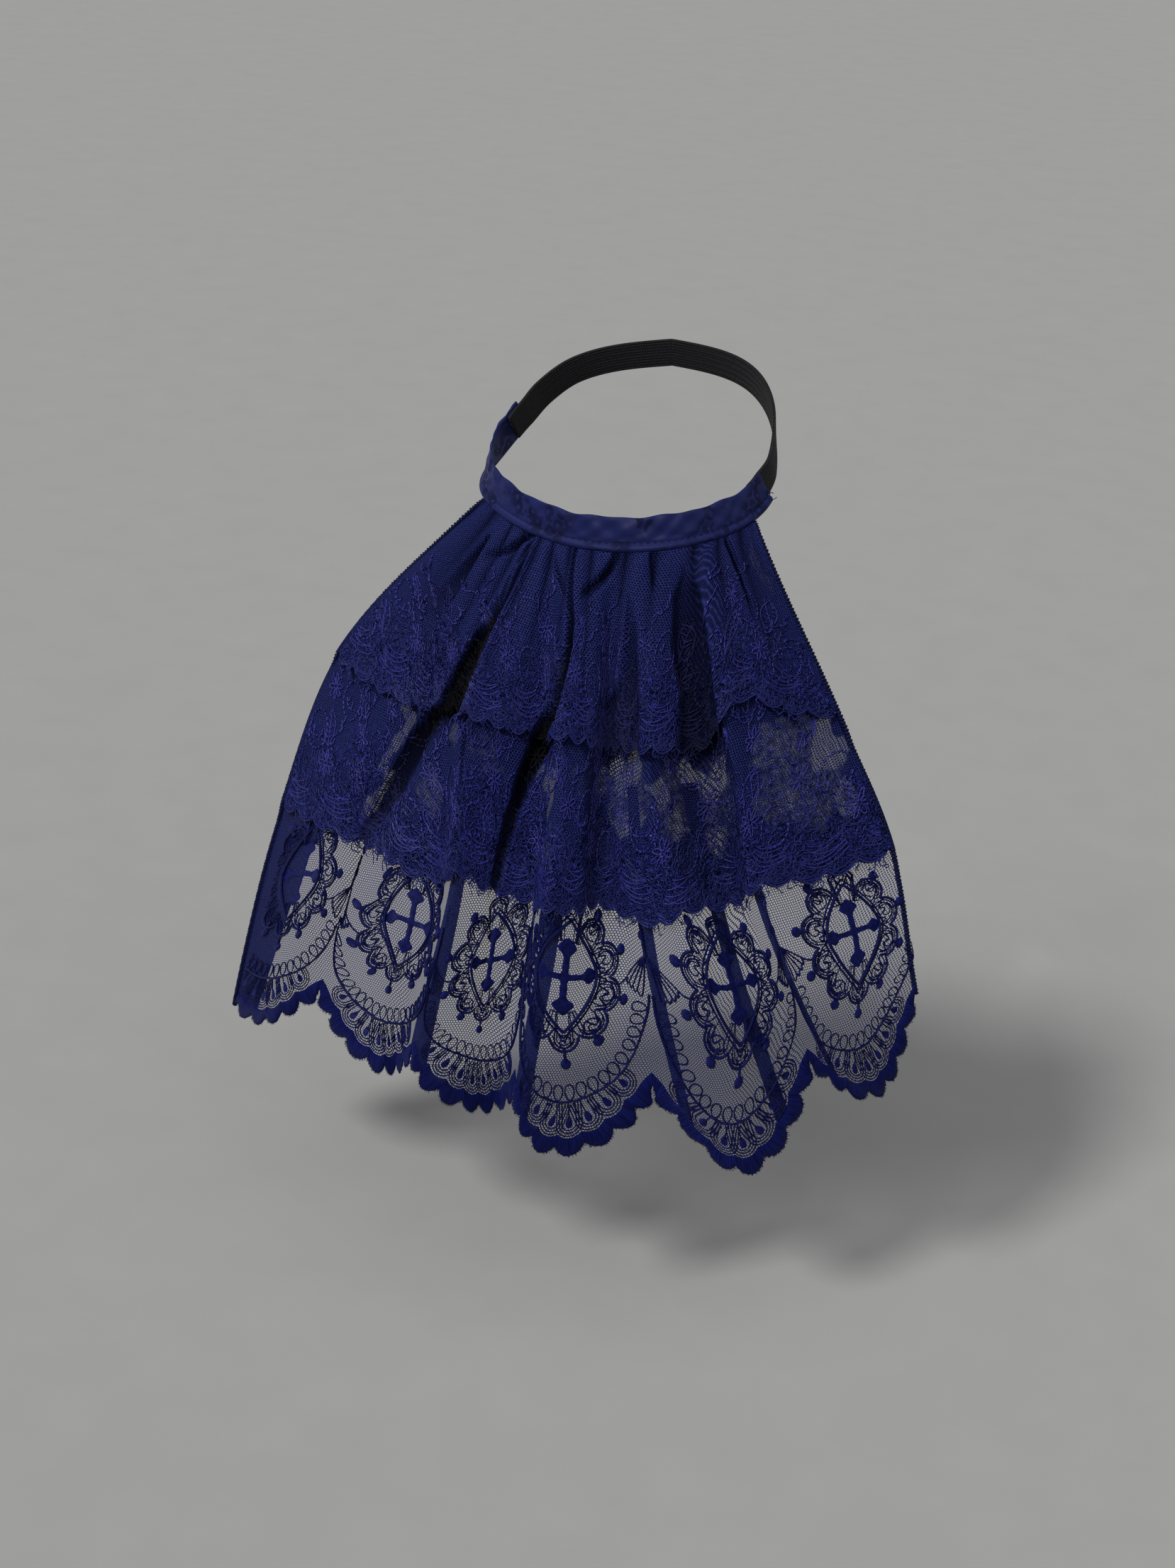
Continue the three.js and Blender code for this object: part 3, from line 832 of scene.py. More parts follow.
def set_folds(mesh, tier, lace, down, least=0.0):
    """Keeps on each point how full and how dense the cloth is, and how dark its painted shade is:
    deep in pleats, in the valleys of the gathers and under the tiers above.

    above is 1 where the tier over this one covers it, and fades out some 5 mm below that tier's
    hem, where its painted shadow falls; under is 1 where the topmost tier covers it.
    """
    above = smooth_step((hem_of(tier - 1, lace) - down + 5) / 8) if tier else 0.0
    under = smooth_step((hem_of(0, lace) - down + 2) / 8) if tier else 0.0
    full = cloth.look_up(cloth.fullness, lace, down).ravel()
    # Painted shade: gather valleys, deep pleats and cloth under the tiers above are darkened in
    # colour
    gather_valley_shade = (1 - ridges(lace, down)) ** 1.5 * np.exp(-down / 34) * 0.9
    shaded = (1 - (0.9 if tier < 2 else 0.6) * under) * (1 - 0.3 * above)
    painted_shade = 1 - (1 - pleat(lace, down)) * (1 - gather_valley_shade) * shaded
    dense = (1 if tier < 2 else np.maximum(under, 0.45 * above)) * (1 - sheer(lace, down))
    dense = np.maximum(np.maximum(dense, least), smooth_step(4 * pleat(lace, down) - 2.4))
    for name, values in (("fullness", full), ("painted_shade", painted_shade), ("dense", dense)):
        layer = mesh.attributes.new(name, "FLOAT", "POINT")
        layer.data.foreach_set("value", np.ascontiguousarray(values))


def hang_mesh(mesh, tier, lace, down, above=0.0, least=0.0):
    """Carries the points of a mesh to the folded cloth, and keeps on them how it lies there."""
    place_vertices(mesh, cloth.point(tier, lace, down, above) * MM)
    set_folds(mesh, tier, lace, down, least)


TIER_COLUMNS = 420
SELVEDGE = 2.2  # how far the net runs on under the thread of the side edges
HEM_INSET = (0.0, 0.0, 3.4)  # how far each net ends above its hem, under the satin border
NET_SHIFT = 7.7  # places the cells of one tier apart from those of the next


def make_tier(tier, name, rows, material):
    """One tier as a sheet of net, in place of its CAD wall."""
    mesh = grid_mesh(name, TIER_COLUMNS, rows)
    share = coordinates(mesh)
    lace = share[:, 0] * (LACE_WIDTH + 2 * SELVEDGE) - SELVEDGE
    down = share[:, 1] * (hem_of(tier, lace) - HEM_INSET[tier])
    rise = hem_base(tier, lace) - down
    hang_mesh(mesh, tier, lace, down)
    set_lace_uv(mesh, lace, rise)
    set_lace_uv(mesh, cloth.across_at(lace, down) + NET_SHIFT * tier, rise, "net")
    piece = finish_piece(name, mesh, material, outward="flip")
    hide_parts(name.replace("_net", "_tier"))
    return piece


print("each tier is a grid of", TIER_COLUMNS, "columns")

# %% The three tiers
middle_stitches = vermicelli(reach=52.0, full=26.0)
top_stitches = vermicelli(reach=38.0, full=16.0)
bottom_net = make_tier(2, "bottom_net", 130, net_material("bottom net"))
middle_net = make_tier(1, "middle_net", 84, net_material("middle net", middle_stitches))
top_net = make_tier(0, "top_net", 48, net_material("top net", top_stitches))
print("tiers:", [len(o.data.polygons) for o in (bottom_net, middle_net, top_net)], "faces")

# %% [markdown]
# ## Thread
#
# Cords, satin stitches and the overlocked edges are all thread, so they share one recipe: fine
# parallel ridges, a colour that drifts a little, and a soft sheen. Only the colours and the width
# of a stitch differ.


# %% Thread
def thread_material(name, dark, light, stitch=0.55, relief=0.35, gloss=0.1):
    """Embroidery thread: fine parallel stitches with a soft sheen."""
    shader, place, x, y = lace_shader(name, Roughness=0.36, Sheen_Weight=0.05, Sheen_Roughness=0.3,
                                      Specular_IOR_Level=gloss)
    drift = shader.noise(place, 0.35) * 3.0
    wave = ((x * 0.5 + y) * (2 * math.pi / stitch) + drift).ripple()
    tone = shader.noise(place, 0.5, 3.0).over(0.3, 0.7)
    colour = shader.mixed(tone * 0.6 + wave * 0.4, dark, light)
    # Painted shade from the cloth's points darkens the thread in pleats and under the tiers above
    shader.feed(Base_Color=shader.painted_shade(colour))
    shader.bump(wave, 0.0002, relief)
    return shader.material


CORD_DARK, CORD_LIGHT = (0.001, 0.0018, 0.026, 1), (0.005, 0.008, 0.09, 1)
cord_thread = thread_material("cord thread", CORD_DARK, CORD_LIGHT, stitch=0.7, relief=0.6)
print("thread is dark navy with a soft sheen")

# %% [markdown]
# ## Drawing lace
#
# The bottom tier repeats one motif every 76 mm: a scallop with a satin-stitched edge, petals and
# little loops along a cord, and a cross in a pointed medallion above it. It is drawn flat: x runs
# along the lace, y up from the hem tips and z above the net. Cords are curves with a round bevel,
# because a curve keeps an even thickness round every bend. Filled shapes are faces that are inset
# and raised twice, which gives the low dome of satin stitch.
#
# The real lace doesn't hang quite straight between its folds. HANG says, for places along the
# pattern, how far the motif at cross height is carried sideways, and how high it ends up.

# %% How the pattern hangs
# place, sideways shift, height at which the crosses hang
HANG = np.array([
    (0, 6, 78), (21, 8, 80), (43, 5, 79), (59, 0, 77), (68, -5, 70), (76, 3, 67),
    (86, 11, 73), (97, 12, 75), (119, 8, 77), (140, 2, 66), (160, 4, 68), (173, 3, 71),
    (195, 2, 82), (211, -12, 88), (227, -21, 86), (236, -19, 84), (249, -9, 82),
    (262, 2, 80), (271, 8, 81), (287, 12, 87), (303, 18, 92), (325, 18, 79), (345, 17, 72),
    (363, 17, 76), (380, 17, 77), (401, 16, 71), (420, 13, 65), (439, 8, 62),
], float)
CROSS_HEIGHT = 80.0
UNIT_CENTRES = FIRST_SCALLOP + SCALLOP_WIDTH * (np.arange(6) + 0.5)
UNIT_EDGES = UNIT_CENTRES[:-1] + SCALLOP_WIDTH / 2


def hang_place(pattern, tier):
    """Where points of the flat pattern lie on a tier: along the lace, and below the band."""
    x, y = pattern[:, 0], pattern[:, 1]
    if tier < 2:
        across = cloth.across_at(x, hem_base(tier, x))
        lace = x
        for _ in range(3):
            down = hem_base(tier, lace) - y
            lace = cloth.lace_at(across, down)
        return lace, hem_base(tier, lace) - y
    high = smooth_step((y - 15) / 45)
    lace = x + smooth_value(HANG, x, 1) * smooth_step((y - 18) / 62)
    rise = y * (1 + (smooth_value(HANG, x, 2) / CROSS_HEIGHT - 1) * high)
    return lace, hem_base(2, lace) - rise


print("the crosses hang from", HANG[:, 2].min(), "to", HANG[:, 2].max(), "mm above the hem tips")


# %% Lines and cords
def even_line(points, step=1.0, closed=False):
    """A smooth line through points, with points at even steps along it."""
    p = np.asarray(points, float)
    before = np.roll(p, 1, 0) if closed else np.vstack([p[:1], p[:-1]])
    after = np.roll(p, -1, 0) if closed else np.vstack([p[1:], p[-1:]])
    slope = (after - before) / 2
    ends = np.roll(p, -1, 0) if closed else p[1:]
    end_slope = np.roll(slope, -1, 0) if closed else slope[1:]
    u = np.linspace(0, 1, 9)[:-1, None]
    pieces = [hermite(p[i], ends[i], slope[i], end_slope[i], u) for i in range(len(ends))]
    fine = np.vstack(pieces + [p[:1] if closed else p[-1:]])
    length = np.r_[0, np.cumsum(np.linalg.norm(np.diff(fine, axis=0), axis=1))]
    places = np.linspace(0, length[-1], max(int(length[-1] / step), 3) + 1)
    return np.stack([np.interp(places, length, fine[:, k]) for k in range(fine.shape[1])], -1)


def raised(line, height):
    """A flat line lifted to a height above the net."""
    return np.column_stack([line[:, :2], np.full(len(line), height)])


def turned(points, angle, origin=(0, 0)):
    """Points turned by an angle in radians and moved to an origin."""
    c, s = math.cos(angle), math.sin(angle)
    return np.asarray(points) @ np.array([[c, s], [-s, c]]) + np.asarray(origin)


def cord_mesh(name, lines, radius, sides=1):
    """Round cords along lines of points, as one mesh. sides 0 gives square cords, 1 six-sided."""
    curve = bpy.data.curves.new(name, "CURVE")
    curve.dimensions = "3D"
    curve.bevel_depth, curve.bevel_resolution = radius, sides
    for line in lines:
        spline = curve.splines.new("POLY")
        spline.points.add(len(line) - 1)
        spline.points.foreach_set("co", np.column_stack([line, np.ones(len(line))]).ravel())
    holder = bpy.data.objects.new(name, curve)
    mesh = bpy.data.meshes.new_from_object(holder)
    bpy.data.objects.remove(holder)
    bpy.data.curves.remove(curve)
    return mesh


EDGE_MARGIN, BAND_MARGIN = 1.5, 3.0


def inside_lace(line, tier):
    """The stretches of a line that lie on the cloth, between its side edges and below the band."""
    lace, down = (line[:, 0], math.inf) if tier == 2 else hang_place(line, tier)
    keep = (lace > EDGE_MARGIN) & (lace < LACE_WIDTH - EDGE_MARGIN) & (down > BAND_MARGIN)
    cuts = np.flatnonzero(np.diff(keep.astype(int))) + 1
    return [part for part, kept in zip(np.split(line, cuts), np.split(keep, cuts))
            if len(part) > 2 and kept[0]]


print("lines are cut", EDGE_MARGIN, "mm inside the side edges")

# %% [markdown]
# ## The motif
#
# Every function below draws one thing of the motif about x = 0, as lists of lines or outlines.
# The medallion is found with circles: its rim is the outermost of ten round lobes in each
# direction, which gives a lobed outline without any list of its points.

# %% Sizes of the motif
VESICA = (13.5, 23.5)
# length of an arm, half its width at the waist and at the knob: sideways arms, upright arms
CROSS_ARMS = ((14.0, 1.35, 3.4), (16.0, 1.6, 4.2))
RIM_LOBES = [(0, -26, 5.8), (10.8, -20.5, 6.4), (16.0, -9.5, 7.2), (16.6, 4.6, 7.6),
             (11.5, 17.0, 6.6), (0, 25, 6.0)]
HOOK = [(-0.2, -0.75), (0.5, -0.45), (0.62, 0.2), (0, 0.8)]
KNOBS = [(0, -36.0), (13.2, -28.0), (24.0, -13.5), (25.5, 6.5), (15.0, 23.5)]
U_LINE = [(0, 25.5), (10, 27.0), (20, 31.5), (28, 39.5), (33.3, 49), (36.3, 59), (37.3, 68)]
EGG_STEP, EGG_WIDE, EGG_TALL = 6.1, 2.1, 3.6
PETAL_ARCS = ((5.8, 0), (4.5, 1.4), (3.2, 2.8))  # half the width, and how much shorter
PETAL_END = 6.2
ARCH_POINTS = 401


def both_sides(things):
    """Each thing and its mirror image, those on the middle line once."""
    return things + [(-x, *rest) for x, *rest in things if x]


print("the medallion has", len(both_sides(RIM_LOBES)), "lobes and", len(both_sides(KNOBS)), "knobs")


# %% The cord, the oval and the rim
def u_line():
    """The cord shaped like a U that carries the loops and the petals."""
    half = np.array(U_LINE, float)
    left = half[:0:-1] * (-1, 1)
    return even_line(np.vstack([left, half]), 1.0)


def vesica(grow=0.0):
    """The pointed oval round the cross."""
    wide, tall = VESICA[0] + grow, VESICA[1] + grow * 1.5
    t = np.linspace(-1, 1, 25)
    right = np.stack([wide * (1 - np.abs(t) ** 1.7), tall * t], -1)
    return np.vstack([right, right[-2::-1] * (-1, 1)])


def rim(extra=0.0):
    """The lobed outline of the medallion: in each direction the farthest of its circles."""
    angles = np.linspace(0, 2 * math.pi, 181)
    rays = np.stack([np.cos(angles), np.sin(angles)], -1)
    reach = np.full(len(angles), 15.0)
    for x, y, radius in both_sides(RIM_LOBES):
        along = rays @ (x, y)
        aside = rays[:, 0] * y - rays[:, 1] * x
        inside = (radius + extra) ** 2 - aside ** 2
        hit = along + np.sqrt(np.maximum(inside, 0))
        reach = np.where((inside > 0) & (along > 0), np.maximum(reach, hit), reach)
    return rays * reach[:, None]


print("the medallion is", np.ptp(rim(), axis=0).round(1), "mm wide and tall")


# %% The medallion and its cross
def curl(radius, turns, hand):
    """A small spiral of cord."""
    t = np.linspace(0.12, 1, 22)
    angle = hand * 2 * math.pi * turns * t
    return np.stack([radius * t * np.cos(angle), radius * t * np.sin(angle)], -1)


def medallion_lines():
    """Cords of the medallion about its centre: outlines, curls in its lobes and short stems."""
    lines = [(vesica(), 0.75), (vesica(1.7), 0.45)]
    lines += [(rim(), 0.68), (rim(-1.3), 0.35), (rim(-2.7), 0.3)]
    angles = np.linspace(0, 2 * math.pi, 241)
    middle = (15.5 + 9.5 * np.abs(np.sin(angles)) ** 1.5) * (1 + 0.1 * np.sin(23 * angles))
    lines.append((np.stack([middle * np.cos(angles), middle * np.sin(angles)], -1), 0.4))
    for x, y, radius in both_sides(RIM_LOBES):
        hand = 1 if x >= 0 else -1
        turn = math.atan2(y, x)
        lines.append((turned(curl(radius * 0.62, 1.6, hand), turn, (x * 1.08, y * 1.08)), 0.34))
        hook = even_line(np.array(HOOK) * radius, 0.8)
        lines.append((turned(hook, turn, (x * 1.02, y * 1.02)), 0.3))
    for x, y in both_sides(KNOBS):
        lines.append((even_line([(x * 0.84, y * 0.84), (x * 0.92, y * 0.92), (x, y)], 1.0), 0.7))
    return lines


def cross_outline():
    """A cross of four slim arms that end in a pointed knob."""
    outline = []
    for quarter in range(4):
        length, waist, knob = CROSS_ARMS[quarter % 2]
        arm = [(1.6, -1.6), (length * 0.3, -waist), (length * 0.54, -waist), (length * 0.7, -knob),
               (length * 0.79, -knob), (length, -0.7), (length, 0.7), (length * 0.79, knob),
               (length * 0.7, knob), (length * 0.54, waist), (length * 0.3, waist)]
        outline.append(turned(arm, quarter * math.pi / 2))
    return even_line(np.vstack(outline), 0.9, closed=True)[:-1]


print("a medallion has", len(medallion_lines()), "cords")


# %% Loops and petals
def loop_lines():
    """Egg-shaped loops that stand on the inner side of the U-shaped cord."""
    line = u_line()
    middle = len(line) // 2
    loops = []
    for k in range(-11, 12):
        at = middle + int(round(k * EGG_STEP))
        if not 2 < at < len(line) - 3:
            continue
        way = unit(line[at + 1] - line[at - 1])
        angle = math.atan2(way[1], way[0])
        t = np.linspace(0, 2 * math.pi, 17)
        wide = EGG_WIDE * np.sin(t) * (1 - 0.15 * np.cos(t))
        egg = np.stack([wide, EGG_TALL + 0.5 - EGG_TALL * np.cos(t)], -1)
        loops.append(turned(egg, angle, line[at]))
    return loops


def arch_table():
    """Points and inward directions along one scallop, at even shares of its length."""
    place = np.linspace(0, 1, 801)
    x = (place - 0.5) * SCALLOP_WIDTH
    y = HEM_TIP[2] - SCALLOP_DEPTH * (1 - np.abs(2 * place - 1) ** ARCH_POWER)
    length = np.r_[0, np.cumsum(np.hypot(np.diff(x), np.diff(y)))]
    even = np.linspace(0, length[-1], ARCH_POINTS)
    x, y = np.interp(even, length, x), np.interp(even, length, y)
    from_start = np.arange(ARCH_POINTS)
    from_end = np.minimum(from_start, from_start[::-1])
    slope = np.gradient(y) / np.gradient(x) * smooth_step(from_end / 28)
    return np.column_stack([x, y, unit(np.stack([-slope, np.ones(ARCH_POINTS)], -1))])


ARCH = arch_table()


def arch_point(share, inward):
    """A point of the scallop pattern: a share of the way along its edge, and a distance inward."""
    shares = np.linspace(0, 1, ARCH_POINTS)
    x, y, way_x, way_y = (np.interp(share, shares, ARCH[:, k]) for k in range(4))
    return np.stack([x + way_x * inward, y + way_y * inward], -1)


def petals():
    """Nested arcs that hang from the cord, one set for each lobe of the hem, and a drop in each."""
    cord = u_line()
    arcs, drops = [], []
    for k in range(LOBES):
        end = arch_point((k + 0.5) / LOBES, PETAL_END)
        way = arch_point((k + 0.5) / LOBES, PETAL_END + 1) - end
        across = np.abs((cord - end) @ (-way[1], way[0])) + 100 * ((cord - end) @ way < 0)
        foot = cord[np.argmin(across)]
        length = np.linalg.norm(end - foot)
        angle = math.atan2(end[0] - foot[0], foot[1] - end[1])
        for wide, short in PETAL_ARCS:
            wide = min(wide, (length - short) * 0.8)
            t = np.linspace(0, math.pi, 13)
            tip = np.stack([-wide * np.cos(t), -(length - short - wide) - wide * np.sin(t)], -1)
            arc = np.vstack([[(-wide * 0.95, -0.2)], tip, [(wide * 0.95, -0.2)]])
            arcs.append(even_line(turned(arc, angle, foot), 0.9))
        t = np.linspace(0, 2 * math.pi, 17)[:-1]
        tall = min(length * 0.24, 3.0)
        drop = np.stack([1.5 * np.sin(t) * (1 + 0.35 * np.cos(t)),
                         -tall * np.cos(t) - (length - 3.6 - tall)], -1)
        drops.append(turned(drop, angle, foot))
        stem = [(0, 0), (0, -length / 4), (0, -length / 2)]
        arcs.append(even_line(turned(stem, angle, foot), 0.9))
    return arcs, drops


print("a scallop has", len(loop_lines()), "loops and", len(petals()[0]), "arcs and stems")


# %% Tassels
def tassel_lines():
    """Between two motifs: a stem, two fans of straight stitches and their scalloped feet."""
    lines = [(even_line([(0, 100), (0, 92), (0, 84)], 1.0), 0.7)]
    for hand in (-1, 1):
        foot = []
        for k in range(5):
            angle = math.radians(-90 + hand * (9 + 9.5 * k))
            way = np.array([math.cos(angle), math.sin(angle)])
            tip = np.array([0.8 * hand, 84]) + way * (17 - k)
            start = (0.5 * hand, 84)
            lines.append((even_line([start, (tip + start) / 2, tip], 1.0), 0.4))
            foot += [tip, tip + (hand * 1.0, -0.9)]
        lines.append((even_line(foot, 0.8), 0.45))
        lines.append((even_line([foot[-1], (hand * 15, 73), (hand * 19, 75)], 1.0), 0.45))
    return lines


print("a tassel has", len(tassel_lines()), "lines")

# %% [markdown]
# ## Laying the cords
#
# One function lays any list of cords on any tier, and the upper tiers use it too. It cuts each line
# where it leaves the lace, sets it a little above the net so that the cord sits in it, and makes
# one mesh of them all. Thin cords are square in section, because a rounder one looks the same.

# %% Cords of the bottom tier
SIX_SIDED = 0.45  # the radius from which a cord has six sides
CORD_LIFT = 0.7  # height of a cord's middle above the net, in radii


def join_meshes(name, meshes):
    made = bmesh.new()
    for mesh in meshes:
        made.from_mesh(mesh)
        bpy.data.meshes.remove(mesh)
    return as_mesh(name, made)


def laid(name, mesh, material, tier):
    """Hangs a mesh that was drawn flat, and makes it a piece of the collar."""
    pattern = coordinates(mesh)
    lace, down = hang_place(pattern, tier)
    hang_mesh(mesh, tier, lace, down, pattern[:, 2])
    set_lace_uv(mesh, pattern[:, 0], pattern[:, 1])
    piece = finish_piece(name, mesh, material)
    print(name, len(piece.data.polygons), "faces")
    return piece


def lay_cords(name, tier, found, thread):
    """Lays cords of several radii on one tier."""
    by_radius = {}
    for line, radius in found:
        for part in inside_lace(line, tier):
            by_radius.setdefault(radius, []).append(raised(part, radius * CORD_LIFT))
    meshes = [cord_mesh("cords", lines, radius, 0 if radius < SIX_SIDED else 1)
              for radius, lines in by_radius.items()]
    return laid(name, join_meshes(name, meshes), thread, tier)


def bottom_lines():
    """All cords of the bottom tier with their radius, unit after unit of the pattern."""
    found = []
    for centre in UNIT_CENTRES:
        found.append((u_line() + (centre, 0), 0.6))
        found += [(line + (centre, CROSS_HEIGHT), radius) for line, radius in medallion_lines()]
        found += [(line + (centre, 0), 0.38) for line in loop_lines()]
        found += [(line + (centre, 0), 0.34) for line in petals()[0]]
    for edge in UNIT_EDGES:
        found += [(line + (edge, 0), radius) for line, radius in tassel_lines()]
    return found


bottom_cords = lay_cords("bottom_cords", 2, bottom_lines(), cord_thread)

# %% [markdown]
# ## Filled shapes
#
# The crosses, drops and knobs are satin stitch: threads laid side by side until they stand up
# from the net. An outline becomes a face, and two insets raise it to a low dome. Its long edges are
# then cut, because a long flat face couldn't follow a fold.

# %% Filled shapes
DOME_INSET, DOME_RISE = 0.45, 0.75
LONGEST_EDGE = 2.4
KNOB_SIZE = (2.3, 2.5, 0.95)


def domed_mesh(name, outlines):
    """Each closed outline as a low dome."""
    made = bmesh.new()
    for outline in outlines:
        ring = [made.verts.new((x, y, 0)) for x, y in outline]
        face = made.faces.new(ring)
        for share in (0.65, 0.35):
            bmesh.ops.inset_region(made, faces=[face], thickness=DOME_INSET,
                                   depth=DOME_RISE * share, use_even_offset=True,
                                   use_boundary=True)
    bmesh.ops.triangulate(made, faces=made.faces[:])
    for _ in range(3):
        long_edges = [edge for edge in made.edges if edge.calc_length() > LONGEST_EDGE]
        bmesh.ops.subdivide_edges(made, edges=long_edges, cuts=1)
        bmesh.ops.triangulate(made, faces=made.faces[:])
    return as_mesh(name, made)


def oval(wide, tall):
    t = np.linspace(0, 2 * math.pi, 17)[:-1]
    return np.stack([wide * np.sin(t), tall * np.cos(t)], -1)


def fits(outline):
    x = outline[:, 0]
    return x.min() > EDGE_MARGIN and x.max() < LACE_WIDTH - EDGE_MARGIN


def filled_outlines():
    """Crosses and drops of every unit, and the two beads of every tassel."""
    shapes = []
    for centre in UNIT_CENTRES:
        shapes.append(cross_outline() + (centre, CROSS_HEIGHT))
        shapes += [drop + (centre, 0) for drop in petals()[1]]
    for edge in UNIT_EDGES:
        shapes += [oval(2.6, 5.5) + (edge, 106), oval(1.9, 2.4) + (edge, 92)]
    return [shape for shape in shapes if fits(shape)]


def knob_mesh():
    """The round knobs at the ends of the medallion's stems."""
    made = bmesh.new()
    for centre in UNIT_CENTRES:
        for x, y in both_sides(KNOBS):
            place = Vector((centre + x * 1.04, CROSS_HEIGHT + y * 1.04, 0.3))
            if 2 < place.x < LACE_WIDTH - 2:
                shape = Matrix.LocRotScale(place, None, KNOB_SIZE)
                bmesh.ops.create_uvsphere(made, u_segments=12, v_segments=6, radius=1,
                                          matrix=shape)
    return as_mesh("knobs", made)


SATIN_LIGHT = (0.008, 0.012, 0.14, 1)
satin_thread = thread_material("satin stitch", CORD_DARK, SATIN_LIGHT, stitch=0.75, relief=1.0)
filled = domed_mesh("filled", filled_outlines())
crosses = laid("crosses", join_meshes("crosses", [filled, knob_mesh()]), satin_thread, 2)

# %% [markdown]
# ## The satin hem
#
# The lobed edge is a closed row of satin stitches, cut out of the net beside it. A strip that runs
# once along all scallops gives it, domed across its width and lobed on both sides. Cut thread
# ends stick out of it by about a millimetre, and without them the edge would look moulded.

# %% The satin hem
FIRST_PLACE = -FIRST_SCALLOP / SCALLOP_WIDTH
LAST_PLACE = (LACE_WIDTH - FIRST_SCALLOP) / SCALLOP_WIDTH
BORDER_COLUMNS, BORDER_ROWS = 1500, 7
BORDER_WIDTH, BORDER_RISE = 6.0, 0.85
SCALLOP_RUN = 92.0  # mm of border in one scallop
THREAD_ENDS = 3000


def hem_place(place, inward):
    """A point near the lobed hem: how many scallops from the first, and 0 to 1 across the satin.

    Both sides of the satin bulge outward at every lobe, its outer side more.
    """
    number = np.floor(place)
    share = place - number
    lobe = 1 - (2 * ((LOBES * share) % 1) - 1) ** 2
    outer = 1.2 - 4.8 * lobe
    inner = 7.2 - 2.0 * lobe
    at = arch_point(share, outer + (inner - outer) * inward)
    at[:, 0] += FIRST_SCALLOP + SCALLOP_WIDTH * (number + 0.5)
    return at


def hem_border():
    """A domed strip of satin stitch along the lobed hem."""
    mesh = grid_mesh("hem_border", BORDER_COLUMNS, BORDER_ROWS)
    share = coordinates(mesh)
    place = FIRST_PLACE + share[:, 0] * (LAST_PLACE - FIRST_PLACE)
    at = hem_place(place, share[:, 1])
    dome = BORDER_RISE * np.sqrt(np.maximum(1 - (2 * share[:, 1] - 1) ** 2, 0)) + 0.08
    at[:, 0] = np.clip(at[:, 0], 0.3, LACE_WIDTH - 0.3)
    lace, down = hang_place(at, 2)
    hang_mesh(mesh, 2, lace, down, dome)
    set_lace_uv(mesh, place * SCALLOP_RUN, share[:, 1] * BORDER_WIDTH)
    return mesh


def border_material():
    """Satin stitch across the border: every stitch a fine ridge, every lobe a little uneven."""
    shader, place, x, y = lace_shader("hem satin", Roughness=0.42, Sheen_Weight=0.06,
                                      Sheen_Roughness=0.3, Specular_IOR_Level=0.06)
    drift = shader.noise(place, 0.25) * 5.0
    ridge = (x * (2 * math.pi / 0.7) + drift).ripple()
    streak = shader.noise(shader.join(x * 2.2, y * 0.15), 1.0, 3.0).over(0.3, 0.7)
    dark, light = (0.001, 0.002, 0.026, 1), (0.007, 0.011, 0.12, 1)
    colour = shader.mixed(streak * 0.7 + ridge * 0.3, dark, light)
    # Painted shade from the cloth's points darkens the satin hem in pleats and under the tiers
    # above
    shader.feed(Base_Color=shader.painted_shade(colour))
    shader.bump(ridge * 0.6 + streak * 0.4, 0.0004, 0.8)
    return shader.material


def thread_ends():
    """Cut ends of thread that stick out of the hem, as they do on a worn edge."""
    place = rng.uniform(FIRST_PLACE + 0.02, LAST_PLACE - 0.02, THREAD_ENDS)
    roots = hem_place(place, 0.12)
    ways = unit(hem_place(place, -0.05) - roots)
    lines = []
    for root, way in zip(roots, ways):
        outward = turned(way, rng.normal(0, 0.4))
        reach = rng.uniform(0.3, 1.5)
        middle = root + outward * (0.5 + reach * 0.5)
        end = middle + turned(outward, rng.normal(0, 0.6)) * reach * 0.5
        height = rng.uniform(0.0, 0.5)
        lines.append(np.column_stack([[root, middle, end], [height, height + 0.1, height]]))
    return cord_mesh("thread_ends", lines, 0.1, 0)


hem_border_piece = finish_piece("hem_border", hem_border(), border_material(),
                                outward="flip")
print("hem:", len(hem_border_piece.data.polygons), "faces")
thread_end_piece = laid("hem_thread_ends", thread_ends(), cord_thread, 2)

# %% [markdown]
# ## The embroidery of the two upper tiers
#
# The upper tiers are all-over embroidered net: a corded hem of small scallops, groups of nested
# arcs above it, star-shaped flowers, leaves and vines of single stitches, and between them short
# meandering stitches that fill the ground. A picture of it on the cloth would stay flat, so the
# figures and the filling are cords too. Only the finest stitches, which wander behind all of them,
# are left to the net's own material.
#
# The same drawing is used for both tiers, with its places shifted a little at random, because
# gathered lace never shows one repeat like the next.

# %% Stitches, flowers, leaves and arcs
REPEAT = LACE_WIDTH / SMALL_SCALLOPS * 4
ARC_CORD, FLOWER_CORD, LEAF_CORD, VINE_CORD, FILLING_CORD = 0.3, 0.36, 0.28, 0.44, 0.26
FINE_STEP = 0.4


def stitched(line, stitch=1.7, gap=1.1):
    """Cuts a line into single stitches."""
    fine = even_line(line, FINE_STEP)
    per, skip = int(stitch / FINE_STEP), int((stitch + gap) / FINE_STEP)
    return [fine[i:i + per + 1:2] for i in range(0, len(fine) - per, skip)]


def flower_lines(count=8, size=5.0):
    """A star of narrow loops, each one petal."""
    t = np.linspace(0, 2 * math.pi, 11)
    loop = np.stack([size * 0.5 * (1 - np.cos(t)) + 0.9, size * 0.19 * np.sin(t)], -1)
    return [turned(loop, turn) for turn in np.arange(count) * 2 * math.pi / count]


